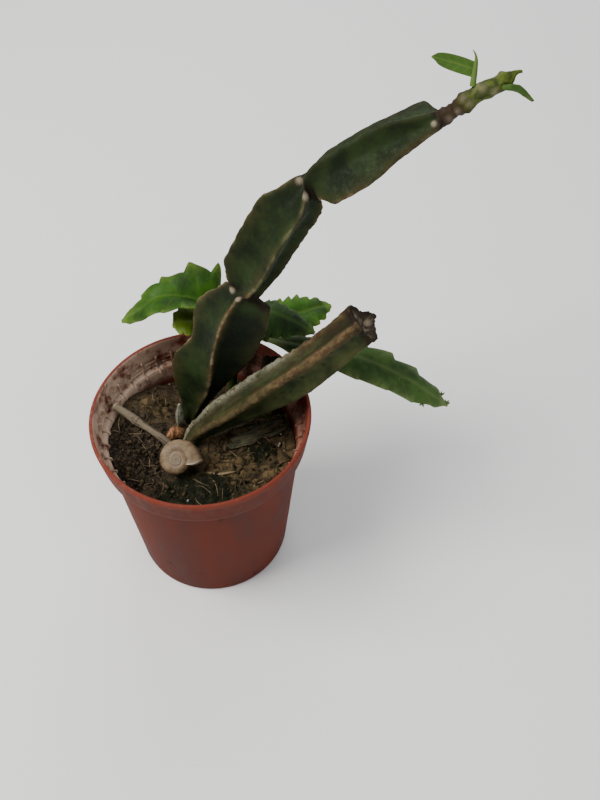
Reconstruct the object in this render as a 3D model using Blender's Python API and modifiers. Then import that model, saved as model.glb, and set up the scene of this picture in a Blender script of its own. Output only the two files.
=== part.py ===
"""Potted veldt grape (Cissus quadrangularis) in a round nursery pot, with a toothed
Kalanchoe seedling growing behind it.

Frame: origin at the centre of the pot's underside, +Z up, +X towards the tip of the
leaning stem. Sizes are in millimetres and MM turns them into metres.
"""
import math

import bmesh
import bpy
from mathutils import Matrix, Vector

MM = 0.001
GAP = 0.3              # clearance between pieces that touch
AT_ONCE = 0.00005      # merging distance, in metres
FRONT = Vector((0.0, -0.618, 0.786))   # side that the plant turns its broad faces to

# Pot: a plain 9 cm nursery pot with a rim band
POT_HEIGHT = 89.5
RIM_RADIUS = 45.0
BAND_HEIGHT = 12.7
BAND_FOOT_RADIUS = 43.4
WALL_TOP_RADIUS = 40.8
BASE_RADIUS = 34.2
WALL = 1.3
FLOOR = 1.6
POT_STEPS = 44
DRAIN_COUNT = 8
DRAIN_RADIUS = 3.2
DRAIN_RING = 24.0

# Soil: level fill, heaped at the back left of the pot and banked against its left wall
SOIL_LEVEL = 66.0
HEAP_HEIGHT = 9.5
HEAP_CENTRE = (-28.0, 14.0)
HEAP_SPREAD = 15.5
BANK_CENTRE = (-39.0, -10.0)
BANK_SPREAD = (11.0, 20.0)
SOIL_RINGS = 13
SOIL_STEPS = 44

# Roots: each stem stands on a round peg in a plain round hole
PEG_DEPTH = 20.0
PEG_RADIUS = 3.4
HOLE_RADIUS = 3.8

# Winged stem
MARGIN = 1.15          # half the thickness of a wing's margin
RING_STEP = 2.7        # distance between cross sections
CRENATE_PITCH = 6.4    # scallops along a wing's margin
CRENATE_DEPTH = 0.035

LEAF_THICKNESS = 1.2


def clear_scene():
    for old in list(bpy.data.objects):
        bpy.data.objects.remove(old, do_unlink=True)


def collection(name):
    made = bpy.data.collections.new(name)
    bpy.context.scene.collection.children.link(made)
    return made


def material(name, colour, roughness, metallic=0.0):
    made = bpy.data.materials.new(name)
    made.use_nodes = True
    shader = made.node_tree.nodes["Principled BSDF"]
    shader.inputs["Base Color"].default_value = (*colour, 1.0)
    shader.inputs["Roughness"].default_value = roughness
    shader.inputs["Metallic"].default_value = metallic
    return made


def add_object(name, data, finish, group):
    made = bpy.data.objects.new(name, data)
    group.objects.link(made)
    if finish:
        data.materials.append(finish)
    return made


def smooth(mesh, degrees):
    mesh.shade_smooth()
    mesh.set_sharp_from_angle(angle=math.radians(degrees))


def add_mesh(name, bm, finish, group, sharp=35.0):
    """Turn a bmesh into an object with outward faces and smooth shading."""
    bmesh.ops.recalc_face_normals(bm, faces=bm.faces)
    mesh = bpy.data.meshes.new(name)
    bm.to_mesh(mesh)
    bm.free()
    smooth(mesh, sharp)
    return add_object(name, mesh, finish, group)


def ease(t):
    t = min(max(t, 0.0), 1.0)
    return t * t * (3.0 - 2.0 * t)


def lerp(a, b, t):
    return a + (b - a) * t


def smooth_path(points, steps=16):
    """Catmull-Rom curve through the points, as a dense list of vectors."""
    p = [Vector(q) for q in points]
    p = [p[0] * 2.0 - p[1]] + p + [p[-1] * 2.0 - p[-2]]
    dense = []
    for a, b, c, d in zip(p, p[1:], p[2:], p[3:]):
        for k in range(steps):
            t = k / steps
            dense.append(0.5 * (2.0 * b + (c - a) * t + (2.0 * a - 5.0 * b + 4.0 * c - d) * t * t
                                + (3.0 * b - a - 3.0 * c + d) * t ** 3))
    dense.append(p[-2].copy())
    return dense


def lengths_along(dense):
    total = [0.0]
    for a, b in zip(dense, dense[1:]):
        total.append(total[-1] + (b - a).length)
    return total


def point_at(dense, total, s):
    """Point and direction at the distance s along a dense path."""
    s = min(max(s, 0.0), total[-1])
    k = 0
    while k < len(total) - 2 and total[k + 1] < s:
        k += 1
    span = max(total[k + 1] - total[k], 1e-9)
    near = dense[max(k - 1, 0)]
    far = dense[min(k + 2, len(dense) - 1)]
    return dense[k].lerp(dense[k + 1], (s - total[k]) / span), (far - near).normalized()


def axes_at(direction, facing=FRONT):
    """Right and front unit vectors of the section that is square to the direction."""
    right = direction.cross(facing).normalized()
    return right, right.cross(direction).normalized()


def winged_section(reach, turn, core, margin, lean=0.0):
    """Section of a stem with four wings as 24 flat points; the front wing can lean aside."""
    points = []
    for k in range(4):
        angle = turn + k * math.pi / 2
        out = Vector((math.cos(angle), math.sin(angle)))
        side = Vector((-out.y, out.x))
        before = max(core, 0.27 * (reach[k] + reach[k - 1]))
        after = max(core, 0.27 * (reach[k] + reach[(k + 1) % 4]))
        low = (out - side).normalized() * before
        high = (out + side).normalized() * after
        if k == 1:
            out = Vector((math.cos(angle + lean), math.sin(angle + lean)))
            side = Vector((-out.y, out.x))
        edge = min(margin, reach[k] * 0.4)
        shoulder = reach[k] - 0.55 * edge
        points.append(low)
        points.append(low.lerp(out * shoulder - side * edge, 0.52) * 0.955)
        points.append(out * shoulder - side * edge)
        points.append(out * reach[k])
        points.append(out * shoulder + side * edge)
        points.append(high.lerp(out * shoulder + side * edge, 0.52) * 0.955)
    return points


def loft(name, rings, finish, group, first=None, last=None, sharp=40.0):
    """Skin closed rings of equal point count and close both ends around a centre."""
    bm = bmesh.new()
    rows = [[bm.verts.new(p * MM) for p in ring] for ring in rings]
    for a, b in zip(rows, rows[1:]):
        for k in range(len(a)):
            n = (k + 1) % len(a)
            bm.faces.new((a[k], a[n], b[n], b[k]))
    for row, ring, centre in ((rows[0], rings[0], first), (rows[-1], rings[-1], last)):
        middle = centre if centre else sum(ring, Vector()) / len(ring)
        hub = bm.verts.new(middle * MM)
        for k in range(len(row)):
            bm.faces.new((row[k], row[(k + 1) % len(row)], hub))
    return add_mesh(name, bm, finish, group, sharp)


def soil_height(x, y):
    """Surface of the soil at a place, before the stem holes are made."""
    away = math.hypot(x - HEAP_CENTRE[0], y - HEAP_CENTRE[1]) / HEAP_SPREAD
    along, across = (x - BANK_CENTRE[0]) / BANK_SPREAD[0], (y - BANK_CENTRE[1]) / BANK_SPREAD[1]
    heap, bank = math.exp(-away ** 2), math.exp(-along ** 2 - across ** 2)
    raised = HEAP_HEIGHT * (1.0 - (1.0 - heap) * (1.0 - bank))
    lumps = 0.8 * math.sin(0.31 * x + 1.2) * math.cos(0.27 * y - 0.4)
    crumbs = 0.45 * math.sin(0.83 * x - 0.66 * y) * math.cos(0.52 * x + 0.91 * y + 0.7)
    return SOIL_LEVEL + raised + lumps + crumbs


def resting_height(verts, turn, x, y):
    """Height at which a shape in millimetres just lies on the soil, once turned and moved to x, y."""
    turned_to = [turn @ vert.co for vert in verts]
    return max(soil_height(x + p.x, y + p.y) - p.z for p in turned_to)


def pot_outer(z):
    """Outer radius of the wall under the band."""
    top = POT_HEIGHT - BAND_HEIGHT
    return lerp(BASE_RADIUS, WALL_TOP_RADIUS, z / top)


def cutter_cylinder(name, group, places, radius, z_low, z_high, sides=20):
    """One cutter made of round columns that stand at the given places."""
    bm = bmesh.new()
    for x, y in places:
        made = bmesh.ops.create_cone(bm, cap_ends=True, segments=sides, radius1=radius * MM,
                                     radius2=radius * MM, depth=(z_high - z_low) * MM)
        bmesh.ops.translate(bm, verts=made["verts"],
                            vec=Vector((x, y, (z_low + z_high) / 2)) * MM)
    cutter = add_mesh(name, bm, None, group)
    cutter.hide_render = True
    cutter.display_type = "WIRE"
    return cutter


def cut(target, cutter, name):
    step = target.modifiers.new(name, "BOOLEAN")
    step.operation = "DIFFERENCE"
    step.object = cutter


def turned(name, profile, steps, finish, group):
    """Closed profile in the XZ plane, turned once about Z."""
    bm = bmesh.new()
    ring = [bm.verts.new(Vector((r, 0.0, z)) * MM) for r, z in profile]
    for a, b in zip(ring, ring[1:]):
        bm.edges.new((a, b))
    mesh = bpy.data.meshes.new(name)
    bm.to_mesh(mesh)
    bm.free()
    made = add_object(name, mesh, finish, group)
    screw = made.modifiers.new("turn", "SCREW")
    screw.axis = "Z"
    screw.steps = steps
    screw.render_steps = steps
    screw.use_merge_vertices = True
    screw.merge_threshold = AT_ONCE
    screw.use_smooth_shade = True
    return made


def make_pot(group, cutters, finish):
    top = POT_HEIGHT - BAND_HEIGHT
    step_in = top - 0.6
    inner_band = BAND_FOOT_RADIUS - WALL
    profile = [
        (RIM_RADIUS - 1.2, POT_HEIGHT),
        (RIM_RADIUS - 0.3, POT_HEIGHT - 0.2),
        (RIM_RADIUS, POT_HEIGHT - 0.9),
        (RIM_RADIUS - 0.15, POT_HEIGHT - 2.2),
        (BAND_FOOT_RADIUS, top),
        (pot_outer(step_in), step_in),
        (pot_outer(2.0), 2.0),
        (BASE_RADIUS - 1.2, 0.0),
        (0.0, 0.0),
    ]
    inside = [
        (0.0, FLOOR),
        (pot_outer(FLOOR) - WALL - 1.0, FLOOR),
        (pot_outer(FLOOR + 1.2) - WALL, FLOOR + 1.2),
        (pot_outer(step_in) - WALL, step_in),
        (inner_band, top + 0.7),
        (RIM_RADIUS - 1.7, POT_HEIGHT - 0.5),
    ]
    # The profile runs down the outer side from the rim, then back up the inner side
    pot = turned("pot", profile + inside + [profile[0]], POT_STEPS, finish, group)
    ring = [(DRAIN_RING * math.cos(2 * math.pi * k / DRAIN_COUNT),
             DRAIN_RING * math.sin(2 * math.pi * k / DRAIN_COUNT)) for k in range(DRAIN_COUNT)]
    drains = cutter_cylinder("drain_cutter", cutters, ring, DRAIN_RADIUS, -2.0, FLOOR + 2.0, 12)
    cut(pot, drains, "drain holes")
    weld = pot.modifiers.new("sharp edges", "WELD")
    weld.merge_threshold = AT_ONCE
    return pot


def make_soil(group, cutters, finish, holes):
    """Soil that fills the pot: rings of the uneven surface, the side and the flat bottom."""
    bottom = FLOOR + GAP
    bm = bmesh.new()
    edge = pot_outer(SOIL_LEVEL) - WALL - GAP

    def ring_of(radius_of, height_of):
        row = []
        for k in range(SOIL_STEPS):
            angle = 2 * math.pi * k / SOIL_STEPS
            r = radius_of(angle)
            x, y = r * math.cos(angle), r * math.sin(angle)
            row.append(bm.verts.new(Vector((x, y, height_of(x, y))) * MM))
        return row

    rows = []
    for j in range(1, SOIL_RINGS):
        share = j / SOIL_RINGS
        rows.append(ring_of(lambda angle: edge * share ** 0.8, soil_height))

    def rim_radius(angle):
        z = soil_height(edge * math.cos(angle), edge * math.sin(angle))
        return pot_outer(min(z, POT_HEIGHT - BAND_HEIGHT - 1.5)) - WALL - GAP

    rows.append(ring_of(rim_radius, soil_height))
    low = pot_outer(bottom + 1.0) - WALL - GAP
    rows.append(ring_of(lambda angle: low, lambda x, y: bottom + 1.0))
    rows.append(ring_of(lambda angle: low - 1.6, lambda x, y: bottom))
    for a, b in zip(rows, rows[1:]):
        for k in range(SOIL_STEPS):
            n = (k + 1) % SOIL_STEPS
            bm.faces.new((a[k], a[n], b[n], b[k]))
    for row, height in ((rows[0], soil_height(0.0, 0.0)), (rows[-1], bottom)):
        hub = bm.verts.new(Vector((0.0, 0.0, height)) * MM)
        for k in range(SOIL_STEPS):
            bm.faces.new((row[k], row[(k + 1) % SOIL_STEPS], hub))
    bmesh.ops.triangulate(bm, faces=bm.faces)
    soil = add_mesh("soil", bm, finish, group, 60.0)
    for name, (x, y), radius, depth in holes:
        z = soil_height(x, y)
        cutter = cutter_cylinder(name + "_hole", cutters, [(x, y)], radius, z - depth, z + 12.0)
        cut(soil, cutter, name + " hole")
    return soil


def crenate(s, phase):
    """Scalloped margin: shallow rounded teeth with sharp notches between them."""
    return 1.0 - CRENATE_DEPTH * (1.0 - abs(math.sin(math.pi * s / CRENATE_PITCH + phase)))


# One row for each wing: reach at the lower node, at full width and at the upper node,
# then the shares of the internode over which the wing widens and narrows again.
# Wings are in the order right, front, left and back.
FIRST_WINGS = ((4.0, 15.1, 12.4, 0.70, 0.16), (3.6, 9.5, 5.8, 0.50, 0.20),
               (4.4, 14.9, 8.4, 0.42, 0.24), (3.6, 10.0, 6.0, 0.50, 0.20))
SECOND_WINGS = ((6.4, 8.6, 6.4, 0.34, 0.16), (6.0, 10.4, 6.4, 0.24, 0.18),
                (7.4, 13.2, 6.8, 0.20, 0.26), (6.0, 10.0, 6.0, 0.24, 0.20))
THIRD_WINGS = ((5.8, 12.4, 4.4, 0.18, 0.60), (6.2, 8.4, 4.2, 0.18, 0.40),
               (6.6, 10.6, 5.0, 0.20, 0.09), (6.0, 8.6, 4.2, 0.20, 0.40))
# The lowest left wing is waisted: place, depth and half length of the waist, as shares
LEFT_WAIST = (0.575, 0.28, 0.11)
FRONT_LEAN = math.radians(-26.0)      # the lowest front wing leans to the right at its foot
# name, points the internode runs through, wings, turn of the section at both nodes in degrees
INTERNODES = (
    ("first", ((-5.6, 12.8, 74.0), (-1.8, 14.5, 86.0), (4.2, 17.0, 104.3), (10.9, 19.0, 120.7),
               (18.8, 21.0, 137.5)), FIRST_WINGS, (-8.0, 5.0)),
    ("second", ((24.3, 23.0, 148.1), (30.3, 24.5, 160.3), (37.0, 26.0, 172.3),
                (42.9, 27.0, 182.1)), SECOND_WINGS, (-25.0, -25.0)),
    ("third", ((53.8, 27.5, 190.4), (65.0, 28.0, 198.4), (75.4, 28.0, 204.6),
               (83.7, 28.0, 209.6)), THIRD_WINGS, (32.0, 32.0)),
)
MAIN_BASE = (-6.5, 12.5)
# point of the young shoot and its radius there, up to the slim bud
SHOOT = (((86.8, 27.5, 212.4), 2.5), ((90.4, 27.0, 216.2), 3.5), ((94.6, 27.0, 219.9), 2.8),
         ((98.2, 27.0, 222.0), 3.0), ((101.3, 27.0, 224.0), 3.0), ((103.0, 27.0, 225.6), 1.9),
         ((104.4, 27.0, 226.9), 0.9), ((106.3, 27.0, 227.4), 0.5))
SHOOT_START = 3.6      # radius where the shoot leaves the last node
SHOOT_STEP = 1.4

CUT_BASE = (-5.4, 1.2)
CUT_POINTS = ((-3.0, 1.7, 73.0), (4.2, 2.6, 79.2), (11.8, 3.5, 85.4), (26.0, 5.5, 97.8),
              (40.6, 8.0, 108.6), (48.8, 9.5, 115.4), (56.4, 11.0, 122.4), (64.6, 13.0, 129.4))
CUT_WINGS = ((3.8, 10.0, 7.3, 0.62, 0.45), (3.6, 8.4, 8.0, 0.40, 0.10),
             (3.8, 7.9, 8.7, 0.25, 0.30), (3.6, 8.0, 7.6, 0.40, 0.10))
CUT_TURN = (-12.0, 5.0)


def wing_reach(wing, t, s, phase):
    """Reach of one wing at the share t of its internode."""
    start, full, end, rise, fall = wing
    reach = full - (full - start) * (1.0 - ease(t / rise)) - (full - end) * (1.0 - ease((1.0 - t) / fall))
    return reach * crenate(s, phase)


def root_rings(base, height, facing=FRONT):
    """Round peg that goes down into the soil, from its foot up to just over the surface."""
    rings = []
    right, front = axes_at(Vector((0.0, 0.0, 1.0)), facing)
    for drop, radius in ((PEG_DEPTH, PEG_RADIUS - 1.0), (PEG_DEPTH - 1.0, PEG_RADIUS),
                         (PEG_DEPTH / 2, PEG_RADIUS), (1.0, PEG_RADIUS), (-1.2, PEG_RADIUS)):
        centre = Vector((base[0], base[1], height - drop))
        flat = winged_section([radius] * 4, 0.0, radius * 0.93, radius * 0.5)
        rings.append([centre + right * q.x + front * q.y for q in flat])
    return rings


def make_main_stem(group, finish):
    """Three winged internodes and the young shoot, grown as one piece."""
    ground = soil_height(*MAIN_BASE)
    start = Vector((*MAIN_BASE, ground + 1.2))
    points = [start - Vector((0.0, 0.0, 6.0)), start]
    node_index = [1]
    for _, run, _, _ in INTERNODES:
        points += [Vector(p) for p in run]
        node_index.append(len(points) - 1)
    points += [Vector(p) for p, _ in SHOOT]
    steps = 16
    dense = smooth_path(points, steps)
    total = lengths_along(dense)
    nodes = [total[k * steps] for k in node_index]
    rings = root_rings(MAIN_BASE, ground)
    turn_before = 0.0
    for (_, _, wings, turns), low, high in zip(INTERNODES, nodes, nodes[1:]):
        count = max(4, round((high - low) / RING_STEP))
        for k in range(count):
            t = (k + 1.0) / count if low == nodes[0] else (k + 0.5) / count
            s = lerp(low, high, t)
            centre, direction = point_at(dense, total, s)
            right, front = axes_at(direction)
            reach = [wing_reach(w, t, s, 0.9 * n) for n, w in enumerate(wings)]
            lean = 0.0
            if low == nodes[0]:
                lean = FRONT_LEAN * ease((1.0 - t) / 0.9)
                place, depth, half = LEFT_WAIST
                reach[2] *= 1.0 - depth * math.exp(-((t - place) / half) ** 2)
            turn = math.radians(lerp(*turns, ease((t - 0.3) / 0.6)))
            angle = lerp(turn_before, turn, ease(t / 0.10 + 0.5))
            flat = winged_section(reach, angle, 3.0, MARGIN, lean)
            rings.append([centre + right * q.x + front * q.y for q in flat])
        turn_before = turn
    low, high = nodes[-1], total[-1]
    girth = [(low, SHOOT_START)]
    girth += [(total[(node_index[-1] + n) * steps], radius) for n, (_, radius) in enumerate(SHOOT, 1)]
    count = round((high - low) / SHOOT_STEP)
    for k in range(count):
        t = (k + 0.5) / count
        s = lerp(low, high, t)
        centre, direction = point_at(dense, total, s)
        right, front = axes_at(direction)
        knobs = 1.0 + 0.06 * math.sin(2 * math.pi * s / 7.5)
        radius = table_value(girth, s, 1) * knobs
        flat = winged_section([radius * 1.06] * 4, turn_before, radius * 0.9, radius * 0.45)
        rings.append([centre + right * q.x + front * q.y for q in flat])
    return loft("main_stem", rings, finish, group, last=dense[-1], sharp=50.0)


def make_cut_stem(group, finish):
    """Old four-angled stem that leans over the rim, ending in a hollowed ragged cut."""
    ground = soil_height(*CUT_BASE)
    start = Vector((*CUT_BASE, ground + 1.2))
    points = [start - Vector((0.0, 0.0, 6.0)), start] + [Vector(p) for p in CUT_POINTS]
    steps = 16
    dense = smooth_path(points, steps)
    total = lengths_along(dense)
    low, high = total[steps], total[-1]
    rings = root_rings(CUT_BASE, ground)
    count = round((high - low) / (1.15 * RING_STEP))
    for k in range(count):
        t = (k + 1.0) / count
        s = lerp(low, high, t)
        centre, direction = point_at(dense, total, s)
        right, front = axes_at(direction)
        reach = [wing_reach(w, t, s, 1.3 * n + 0.4) for n, w in enumerate(CUT_WINGS)]
        turn = math.radians(lerp(*CUT_TURN, ease((t - 0.2) / 0.75))) * ease(t / 0.08)
        flat = winged_section(reach, turn, 3.0, 1.5)
        rings.append([centre + right * q.x + front * q.y for q in flat])
    centre, direction = point_at(dense, total, high)
    ragged = [p + direction * 0.7 * math.sin(0.9 * n) for n, p in enumerate(rings[-1])]
    rings[-1] = ragged
    for share, depth in ((0.84, 0.3), (0.66, 1.8), (0.32, 2.6)):
        rings.append([centre.lerp(p, share) - direction * depth for p in ragged])
    return loft("cut_stem", rings, finish, group, last=centre - direction * 2.8, sharp=50.0)


def stub_rings(base, tip, radius, count):
    """Rings of a short four-angled stump between a place on the soil and its top."""
    ground = soil_height(*base)
    start = Vector((*base, ground + 1.2))
    dense = smooth_path([start - Vector((0.0, 0.0, 6.0)), start, start.lerp(tip, 0.5), tip])
    total = lengths_along(dense)
    rings = root_rings(base, ground)
    low, high = total[16], total[-1]
    for k in range(count):
        t = (k + 1.0) / count
        centre, direction = point_at(dense, total, lerp(low, high, t))
        right, front = axes_at(direction)
        r = lerp(PEG_RADIUS, radius, ease(t / 0.5))
        flat = winged_section([r] * 4, 0.6, r * 0.72, r * 0.3)
        rings.append([centre + right * q.x + front * q.y for q in flat])
    return rings, centre, direction


def make_old_stub(group, finish):
    rings, centre, direction = stub_rings(STUB_BASE, STUB_TOP, STUB_RADIUS, 9)
    rings.append([centre.lerp(p, 0.82) - direction * 0.4 for p in rings[-1]])
    rings.append([centre.lerp(p, 0.45) - direction * 1.4 for p in rings[-2]])
    return loft("old_stub", rings, finish, group, last=centre - direction * 1.7, sharp=50.0)


STUB_BASE = (25.0, 18.5)
STUB_TOP = Vector((28.3, 20.0, 98.6))
STUB_RADIUS = 4.6

# Kalanchoe seedling: upright stem with leaves that spring from it
KALANCHOE_BASE = Vector((10.0, 31.0))
KALANCHOE_TOP = Vector((13.5, 36.5, 106.0))
KALANCHOE_RADIUS = 2.0


def kalanchoe_axis(z):
    low = Vector((KALANCHOE_BASE.x, KALANCHOE_BASE.y, SOIL_LEVEL + 2.0))
    return low.lerp(KALANCHOE_TOP, (z - low.z) / (KALANCHOE_TOP.z - low.z))


def tube(name, points, radii, finish, group, resolution=2):
    """Round rod through the points, with a radius at each of them and filled caps."""
    curve = bpy.data.curves.new(name, "CURVE")
    curve.dimensions = "3D"
    curve.bevel_depth = MM
    curve.bevel_resolution = resolution
    curve.use_fill_caps = True
    line = curve.splines.new("POLY")
    line.points.add(len(points) - 1)
    for knot, p, r in zip(line.points, points, radii):
        knot.co = (*(Vector(p) * MM), 1.0)
        knot.radius = r
    return add_object(name, curve, finish, group)


def make_kalanchoe_stem(group, finish):
    ground = soil_height(*KALANCHOE_BASE)
    points = [Vector((*KALANCHOE_BASE, ground - PEG_DEPTH * 0.7)),
              Vector((*KALANCHOE_BASE, ground - 4.0)), Vector((*KALANCHOE_BASE, ground + 1.5))]
    radii = [1.6, KALANCHOE_RADIUS, KALANCHOE_RADIUS]
    for k in range(1, 9):
        points.append(kalanchoe_axis(lerp(ground + 3.0, KALANCHOE_TOP.z, k / 8)))
        radii.append(KALANCHOE_RADIUS * (1.0 - 0.12 * (k % 2)) * (0.55 if k == 8 else 1.0))
    return tube("kalanchoe_stem", points, radii, finish, group)


def table_value(rows, t, column):
    """Value of a column of design rows at t, eased from one row to the next."""
    for a, b in zip(rows, rows[1:]):
        if t <= b[0]:
            return lerp(a[column], b[column], ease((t - a[0]) / (b[0] - a[0])))
    return rows[-1][column]


def saw(t, count):
    """Toothed margin: each tooth leans towards the tip."""
    part = (t * count) % 1.0
    return part / 0.75 if part < 0.75 else (1.0 - part) / 0.25


def make_leaf(name, group, finish, midrib, rows, teeth, stations=20, halves=3, tooth=0.22):
    """Folded leaf blade.

    rows hold, from base to tip: share of the length, width and fold of the right half,
    width and fold of the left half, looking from the base with the upper face up.
    """
    dense = smooth_path(midrib)
    total = lengths_along(dense)
    bm = bmesh.new()
    across = 2 * halves
    bmesh.ops.create_grid(bm, x_segments=stations, y_segments=across, size=0.5)
    for vert in bm.verts:
        t, v = vert.co.x + 0.5, vert.co.y * 2.0
        centre, direction = point_at(dense, total, t * total[-1])
        side = direction.cross(Vector((0.0, 0.0, 1.0))).normalized()
        upper = side.cross(direction).normalized()
        column = 1 if v > 0 else 3
        width = table_value(rows, t, column)
        fold = math.radians(table_value(rows, t, column + 1))
        blade = ease((width - 2.0) / 3.0)
        if abs(v) > 0.99:
            width *= 1.0 + tooth * blade * (saw(t, teeth) - 0.5)
        reach = abs(v) * width
        crown = 0.06 * width * math.sin(math.pi * abs(v))
        sign = 1.0 if v > 0 else -1.0
        vert.co = (centre + side * (sign * reach * math.cos(fold))
                   + upper * (reach * math.sin(fold) + crown)) * MM
    bmesh.ops.triangulate(bm, faces=bm.faces, quad_method="SHORT_EDGE")
    made = add_mesh(name, bm, finish, group, 60.0)
    shell = made.modifiers.new("thickness", "SOLIDIFY")
    shell.thickness = LEAF_THICKNESS * MM
    shell.offset = 0.0
    return made


def off_stem(z, towards):
    """Place just clear of the seedling's stem, on the side that faces a point."""
    axis = kalanchoe_axis(z)
    out = Vector((towards[0] - axis.x, towards[1] - axis.y, 0.0)).normalized()
    return axis + out * (KALANCHOE_RADIUS + GAP)


LEAVES = (
    # name, height on the stem, points of the midrib, rows, teeth
    ("left_leaf", 104.6, ((3.5, 37.0, 112.4), (-7.4, 38.0, 116.9), (-18.4, 38.0, 119.0),
                          (-27.0, 36.2, 114.8), (-33.7, 33.4, 107.9)),
     ((0.0, 1.3, 0.0, 1.3, 0.0), (0.14, 2.4, 25.0, 2.4, 20.0), (0.28, 15.4, 32.0, 10.5, 32.0),
      (0.42, 13.6, 30.0, 12.6, 26.0), (0.58, 7.4, 24.0, 13.6, 10.0), (0.78, 3.6, 12.0, 11.4, 4.0),
      (0.92, 2.4, 6.0, 6.4, 0.0), (1.0, 0.9, 0.0, 0.9, 0.0)), 9),
    ("small_leaf", 98.6, ((7.0, 35.0, 103.4), (-1.2, 33.6, 107.2), (-7.9, 31.6, 109.4),
                          (-12.5, 30.4, 107.7)),
     ((0.0, 1.2, 0.0, 1.2, 0.0), (0.30, 1.8, 0.0, 1.8, 0.0), (0.58, 5.6, 16.0, 5.4, -12.0),
      (0.80, 6.4, 16.0, 6.2, -16.0), (1.0, 0.9, 0.0, 0.9, 0.0)), 7),
    ("front_right_leaf", 102.6, ((21.0, 37.2, 108.6), (27.6, 36.4, 110.9), (35.9, 35.0, 107.6),
                                 (41.8, 34.0, 104.0), (45.8, 33.2, 101.8)),
     ((0.0, 1.3, 0.0, 1.3, 0.0), (0.14, 2.4, -4.0, 2.4, -4.0), (0.40, 13.6, -16.0, 8.0, -10.0),
      (0.66, 9.0, -16.0, 6.4, -8.0), (0.86, 4.2, -10.0, 4.0, -4.0), (1.0, 0.9, 0.0, 0.9, 0.0)), 8),
    ("back_right_leaf", 94.6, ((20.5, 41.6, 95.4), (28.9, 46.0, 96.0), (39.6, 50.0, 96.4),
                               (47.4, 53.0, 96.4), (53.1, 55.0, 95.8)),
     ((0.0, 1.3, 0.0, 1.3, 0.0), (0.16, 2.4, 4.0, 2.4, 4.0), (0.44, 8.6, 8.0, 9.0, 10.0),
      (0.72, 7.4, 6.0, 7.8, 10.0), (0.90, 4.2, 0.0, 4.4, 4.0), (1.0, 0.9, 0.0, 0.9, 0.0)), 9),
    ("long_leaf", 98.2, ((20.5, 35.4, 97.8), (29.2, 33.0, 97.6), (41.9, 29.0, 98.4),
                         (56.4, 25.0, 99.0), (71.0, 22.0, 96.2), (86.4, 20.0, 87.4),
                         (103.6, 18.0, 73.8)),
     ((0.0, 1.3, 0.0, 1.3, 0.0), (0.12, 2.2, 0.0, 2.2, 0.0), (0.32, 7.0, -12.0, 6.4, -4.0),
      (0.56, 9.4, -18.0, 8.2, -4.0), (0.80, 8.4, -18.0, 7.4, -4.0), (0.92, 5.0, -10.0, 4.6, 0.0),
      (1.0, 0.9, 0.0, 0.9, 0.0)), 15),
)
LONG_LEAF = "long_leaf"


def make_leaves(group, finish, dark_finish):
    for name, height, run, rows, teeth in LEAVES:
        midrib = [off_stem(height, run[0])] + [Vector(p) for p in run]
        longer = name == LONG_LEAF
        make_leaf(name, group, dark_finish if longer else finish, midrib, rows, teeth,
                  stations=26 if longer else 20, halves=2 if longer else 3)


# Leaf of the young shoot: lower margin and upper margin in a plane that leans back
SHOOT_LEAF_FOOT = Vector((92.1, 27.8, 222.9))
BLADE_LENGTH = 13.4
BLADE_LEAN = math.radians(30.0)
BLADE_THICKNESS = 1.0


def make_shoot_leaf(group, finish):
    """Folded young blade on a short petiole that ends in a hooked tendril."""
    up = Vector((0.0, math.sin(BLADE_LEAN), math.cos(BLADE_LEAN)))
    out = Vector((-1.0, 0.0, 0.0))
    face = out.cross(up)
    corner = SHOOT_LEAF_FOOT + up * 0.6
    bm = bmesh.new()
    bmesh.ops.create_grid(bm, x_segments=10, y_segments=4, size=0.5)
    for vert in bm.verts:
        u, v = vert.co.x + 0.5, vert.co.y + 0.5
        lower = 0.7 + 3.4 * u + 2.2 * u ** 3
        upper = 5.4 + 5.4 * u - 2.7 * u ** 2
        rounded = u ** 6
        height = lerp(lower, upper, 0.5 + (v - 0.5) * (1.0 - 0.4 * rounded))
        away = u * BLADE_LENGTH - 0.9 * rounded * (2.0 * v - 1.0) ** 2
        cup = 0.9 * math.sin(math.pi * v) * (1.0 - u ** 3) + 0.5 * math.sin(math.pi * u)
        vert.co = (corner + out * away + up * height + face * cup) * MM
    bmesh.ops.triangulate(bm, faces=bm.faces)
    made = add_mesh("shoot_leaf", bm, finish, group, 60.0)
    shell = made.modifiers.new("thickness", "SOLIDIFY")
    shell.thickness = BLADE_THICKNESS * MM
    shell.offset = 0.0
    stalk = tube("shoot_leaf_stalk",
                 [SHOOT_LEAF_FOOT, SHOOT_LEAF_FOOT + up * 0.5, corner - out * 0.1 + up * 0.9,
                  corner - out * 0.25 + up * 2.3, corner - out * 0.3 + up * 4.0,
                  corner - out * 0.4 + up * 5.6, corner - out * 0.2 + up * 6.9,
                  corner + out * 0.3 + up * 8.0, corner + out * 0.95 + up * 8.7],
                 [1.0, 0.95, 0.95, 0.95, 0.9, 0.7, 0.5, 0.38, 0.3], finish, group)
    solid = meshed(stalk, group)
    join = made.modifiers.new("stalk", "BOOLEAN")
    join.operation = "UNION"
    join.object = solid
    return made


def meshed(rod, group):
    """Replace a curve with a closed mesh of the same shape that a Boolean can use."""
    bpy.context.view_layer.update()
    shape = rod.evaluated_get(bpy.context.evaluated_depsgraph_get())
    mesh = bpy.data.meshes.new_from_object(shape)
    bm = bmesh.new()
    bm.from_mesh(mesh)
    bmesh.ops.remove_doubles(bm, verts=bm.verts, dist=AT_ONCE)
    bmesh.ops.recalc_face_normals(bm, faces=bm.faces)
    bm.to_mesh(mesh)
    bm.free()
    solid = bpy.data.objects.new(rod.name + "_solid", mesh)
    solid.matrix_world = rod.matrix_world
    bpy.data.objects.remove(rod, do_unlink=True)
    bpy.data.collections["cutters"].objects.link(solid)
    solid.hide_render = True
    solid.display_type = "WIRE"
    return solid


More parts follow.
